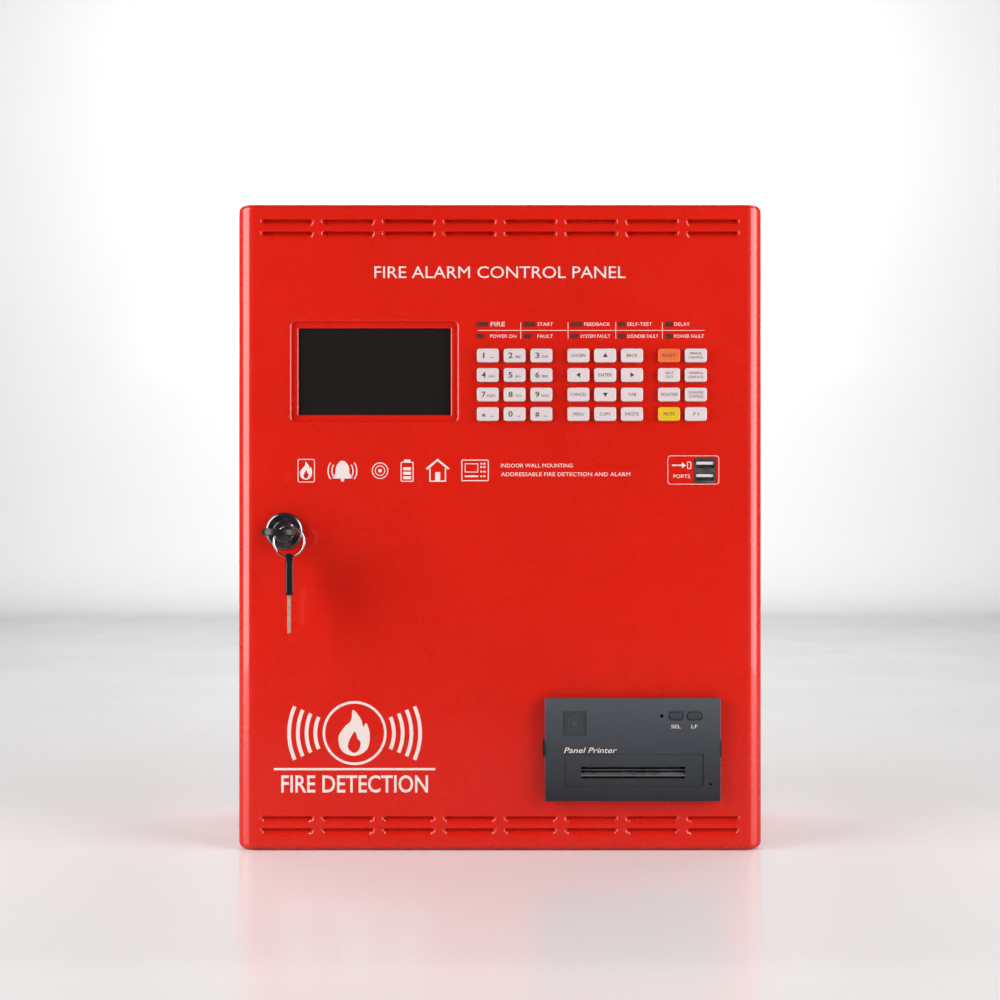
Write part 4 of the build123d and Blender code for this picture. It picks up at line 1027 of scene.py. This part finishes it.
def stage_mesh():
    """A floor that sweeps up into a back wall."""
    floor_z = door_low.z - FLOOR_GAP
    mesh = bmesh.new()
    profile = [(FLOOR_FRONT, floor_z), (FLOOR_BACK, floor_z)]
    for i in range(1, 13):
        turn = math.radians(90 * i / 12)
        rise = SWEEP_R * (1 - math.cos(turn))
        profile.append((FLOOR_BACK + SWEEP_R * math.sin(turn), floor_z + rise))
    profile.append((FLOOR_BACK + SWEEP_R, WALL_TOP))
    rows = [[mesh.verts.new((x, y, z)) for x in (-FLOOR_HALF, FLOOR_HALF)] for y, z in profile]
    for near, far in zip(rows, rows[1:]):
        mesh.faces.new((near[0], near[1], far[1], far[0])).smooth = True
    data = bpy.data.meshes.new("floor")
    mesh.to_mesh(data)
    mesh.free()
    return data


def floor_material():
    """Pale floor that greys towards the viewer and stays dark in the panel's reflections."""
    mat, tree, shader, place = new_material("floor_white")
    drift = noise(tree, place, 3.0)
    pale = blend_colours(tree, drift, (0.93, 0.93, 0.93), (0.90, 0.90, 0.90))
    split = tree.nodes.new("ShaderNodeSeparateXYZ")
    tree.links.new(place, split.inputs["Vector"])
    near = remap(tree, split.outputs["Y"], -0.75, -0.38, 1.0, 0.0)
    pale = blend_colours(tree, near, pale, (0.30, 0.30, 0.30))
    mirrored = tree.nodes.new("ShaderNodeLightPath").outputs["Is Glossy Ray"]
    mirrored = remap(tree, mirrored, 0.0, 1.0, 0.0, 0.75)
    tree.links.new(blend_colours(tree, mirrored, pale, (0.02, 0.02, 0.02)), shader.inputs["Base Color"])
    gloss = remap(tree, noise(tree, place, 8.0), *NOISE_SPAN, 0.14, 0.2)
    tree.links.new(gloss, shader.inputs["Roughness"])
    return mat


def room():
    """A room that lights from the sides and the back, dark behind the camera and above."""
    world = bpy.data.worlds.new("studio")
    world.use_nodes = True
    tree = world.node_tree
    back = tree.nodes["Background"]
    split = tree.nodes.new("ShaderNodeSeparateXYZ")
    tree.links.new(tree.nodes.new("ShaderNodeTexCoord").outputs["Generated"], split.inputs["Vector"])
    side = remap(tree, split.outputs["Y"], -0.97, -0.60, WORLD_BEHIND, WORLD_SIDE)
    above = remap(tree, split.outputs["Z"], 0.25, 0.75, 1.0, WORLD_ABOVE)
    total = tree.nodes.new("ShaderNodeMath")
    total.operation = "MULTIPLY"
    tree.links.new(side, total.inputs[0])
    tree.links.new(above, total.inputs[1])
    tree.links.new(total.outputs["Value"], back.inputs["Strength"])
    back.inputs["Color"].default_value = (1.0, 1.0, 1.0, 1.0)
    bpy.context.scene.world = world


def softbox(name, place, target, width, height, power):
    """A rectangular light at place, facing target."""
    lamp = bpy.data.lights.new(name, "AREA")
    lamp.shape = "RECTANGLE"
    lamp.size, lamp.size_y = width, height
    lamp.energy = power
    holder = bpy.data.objects.new(name, lamp)
    holder.location = place
    holder.rotation_euler = (Vector(target) - Vector(place)).to_track_quat("-Z", "Y").to_euler()
    bpy.context.scene.collection.objects.link(holder)


floor_data = stage_mesh()
floor_data.materials.append(floor_material())
floor = bpy.data.objects.new("floor", floor_data)
bpy.context.scene.collection.objects.link(floor)
room()

BOX_X, BOX_AHEAD, BOX_Z, BOX_W, BOX_H, BOX_POWER = 0.95, 0.40, 0.10, 0.75, 1.7, 19.5
for name, side in (("left_box", -1), ("right_box", 1)):
    place = (side * BOX_X, FACE_Y - BOX_AHEAD, BOX_Z)
    softbox(name, place, (0.0, FACE_Y, 0.0), BOX_W, BOX_H, BOX_POWER)
softbox("back_box", (0.0, 0.55, 1.5), (0.0, 2.4, 0.2), 2.6, 0.6, 50.0)

VIEW_DISTANCE, VIEW_Z = 0.86, 0.0173
camera = bpy.data.cameras.new("camera")
camera.lens, camera.sensor_width = 48.3, 36.0
camera.clip_start = 0.01
camera_holder = bpy.data.objects.new("camera", camera)
camera_holder.location = (0.0, FACE_Y - VIEW_DISTANCE, VIEW_Z)
camera_holder.rotation_euler = (math.pi / 2, 0.0, 0.0)
bpy.context.scene.collection.objects.link(camera_holder)
bpy.context.scene.camera = camera_holder
bpy.context.scene.view_settings.view_transform = "Standard"
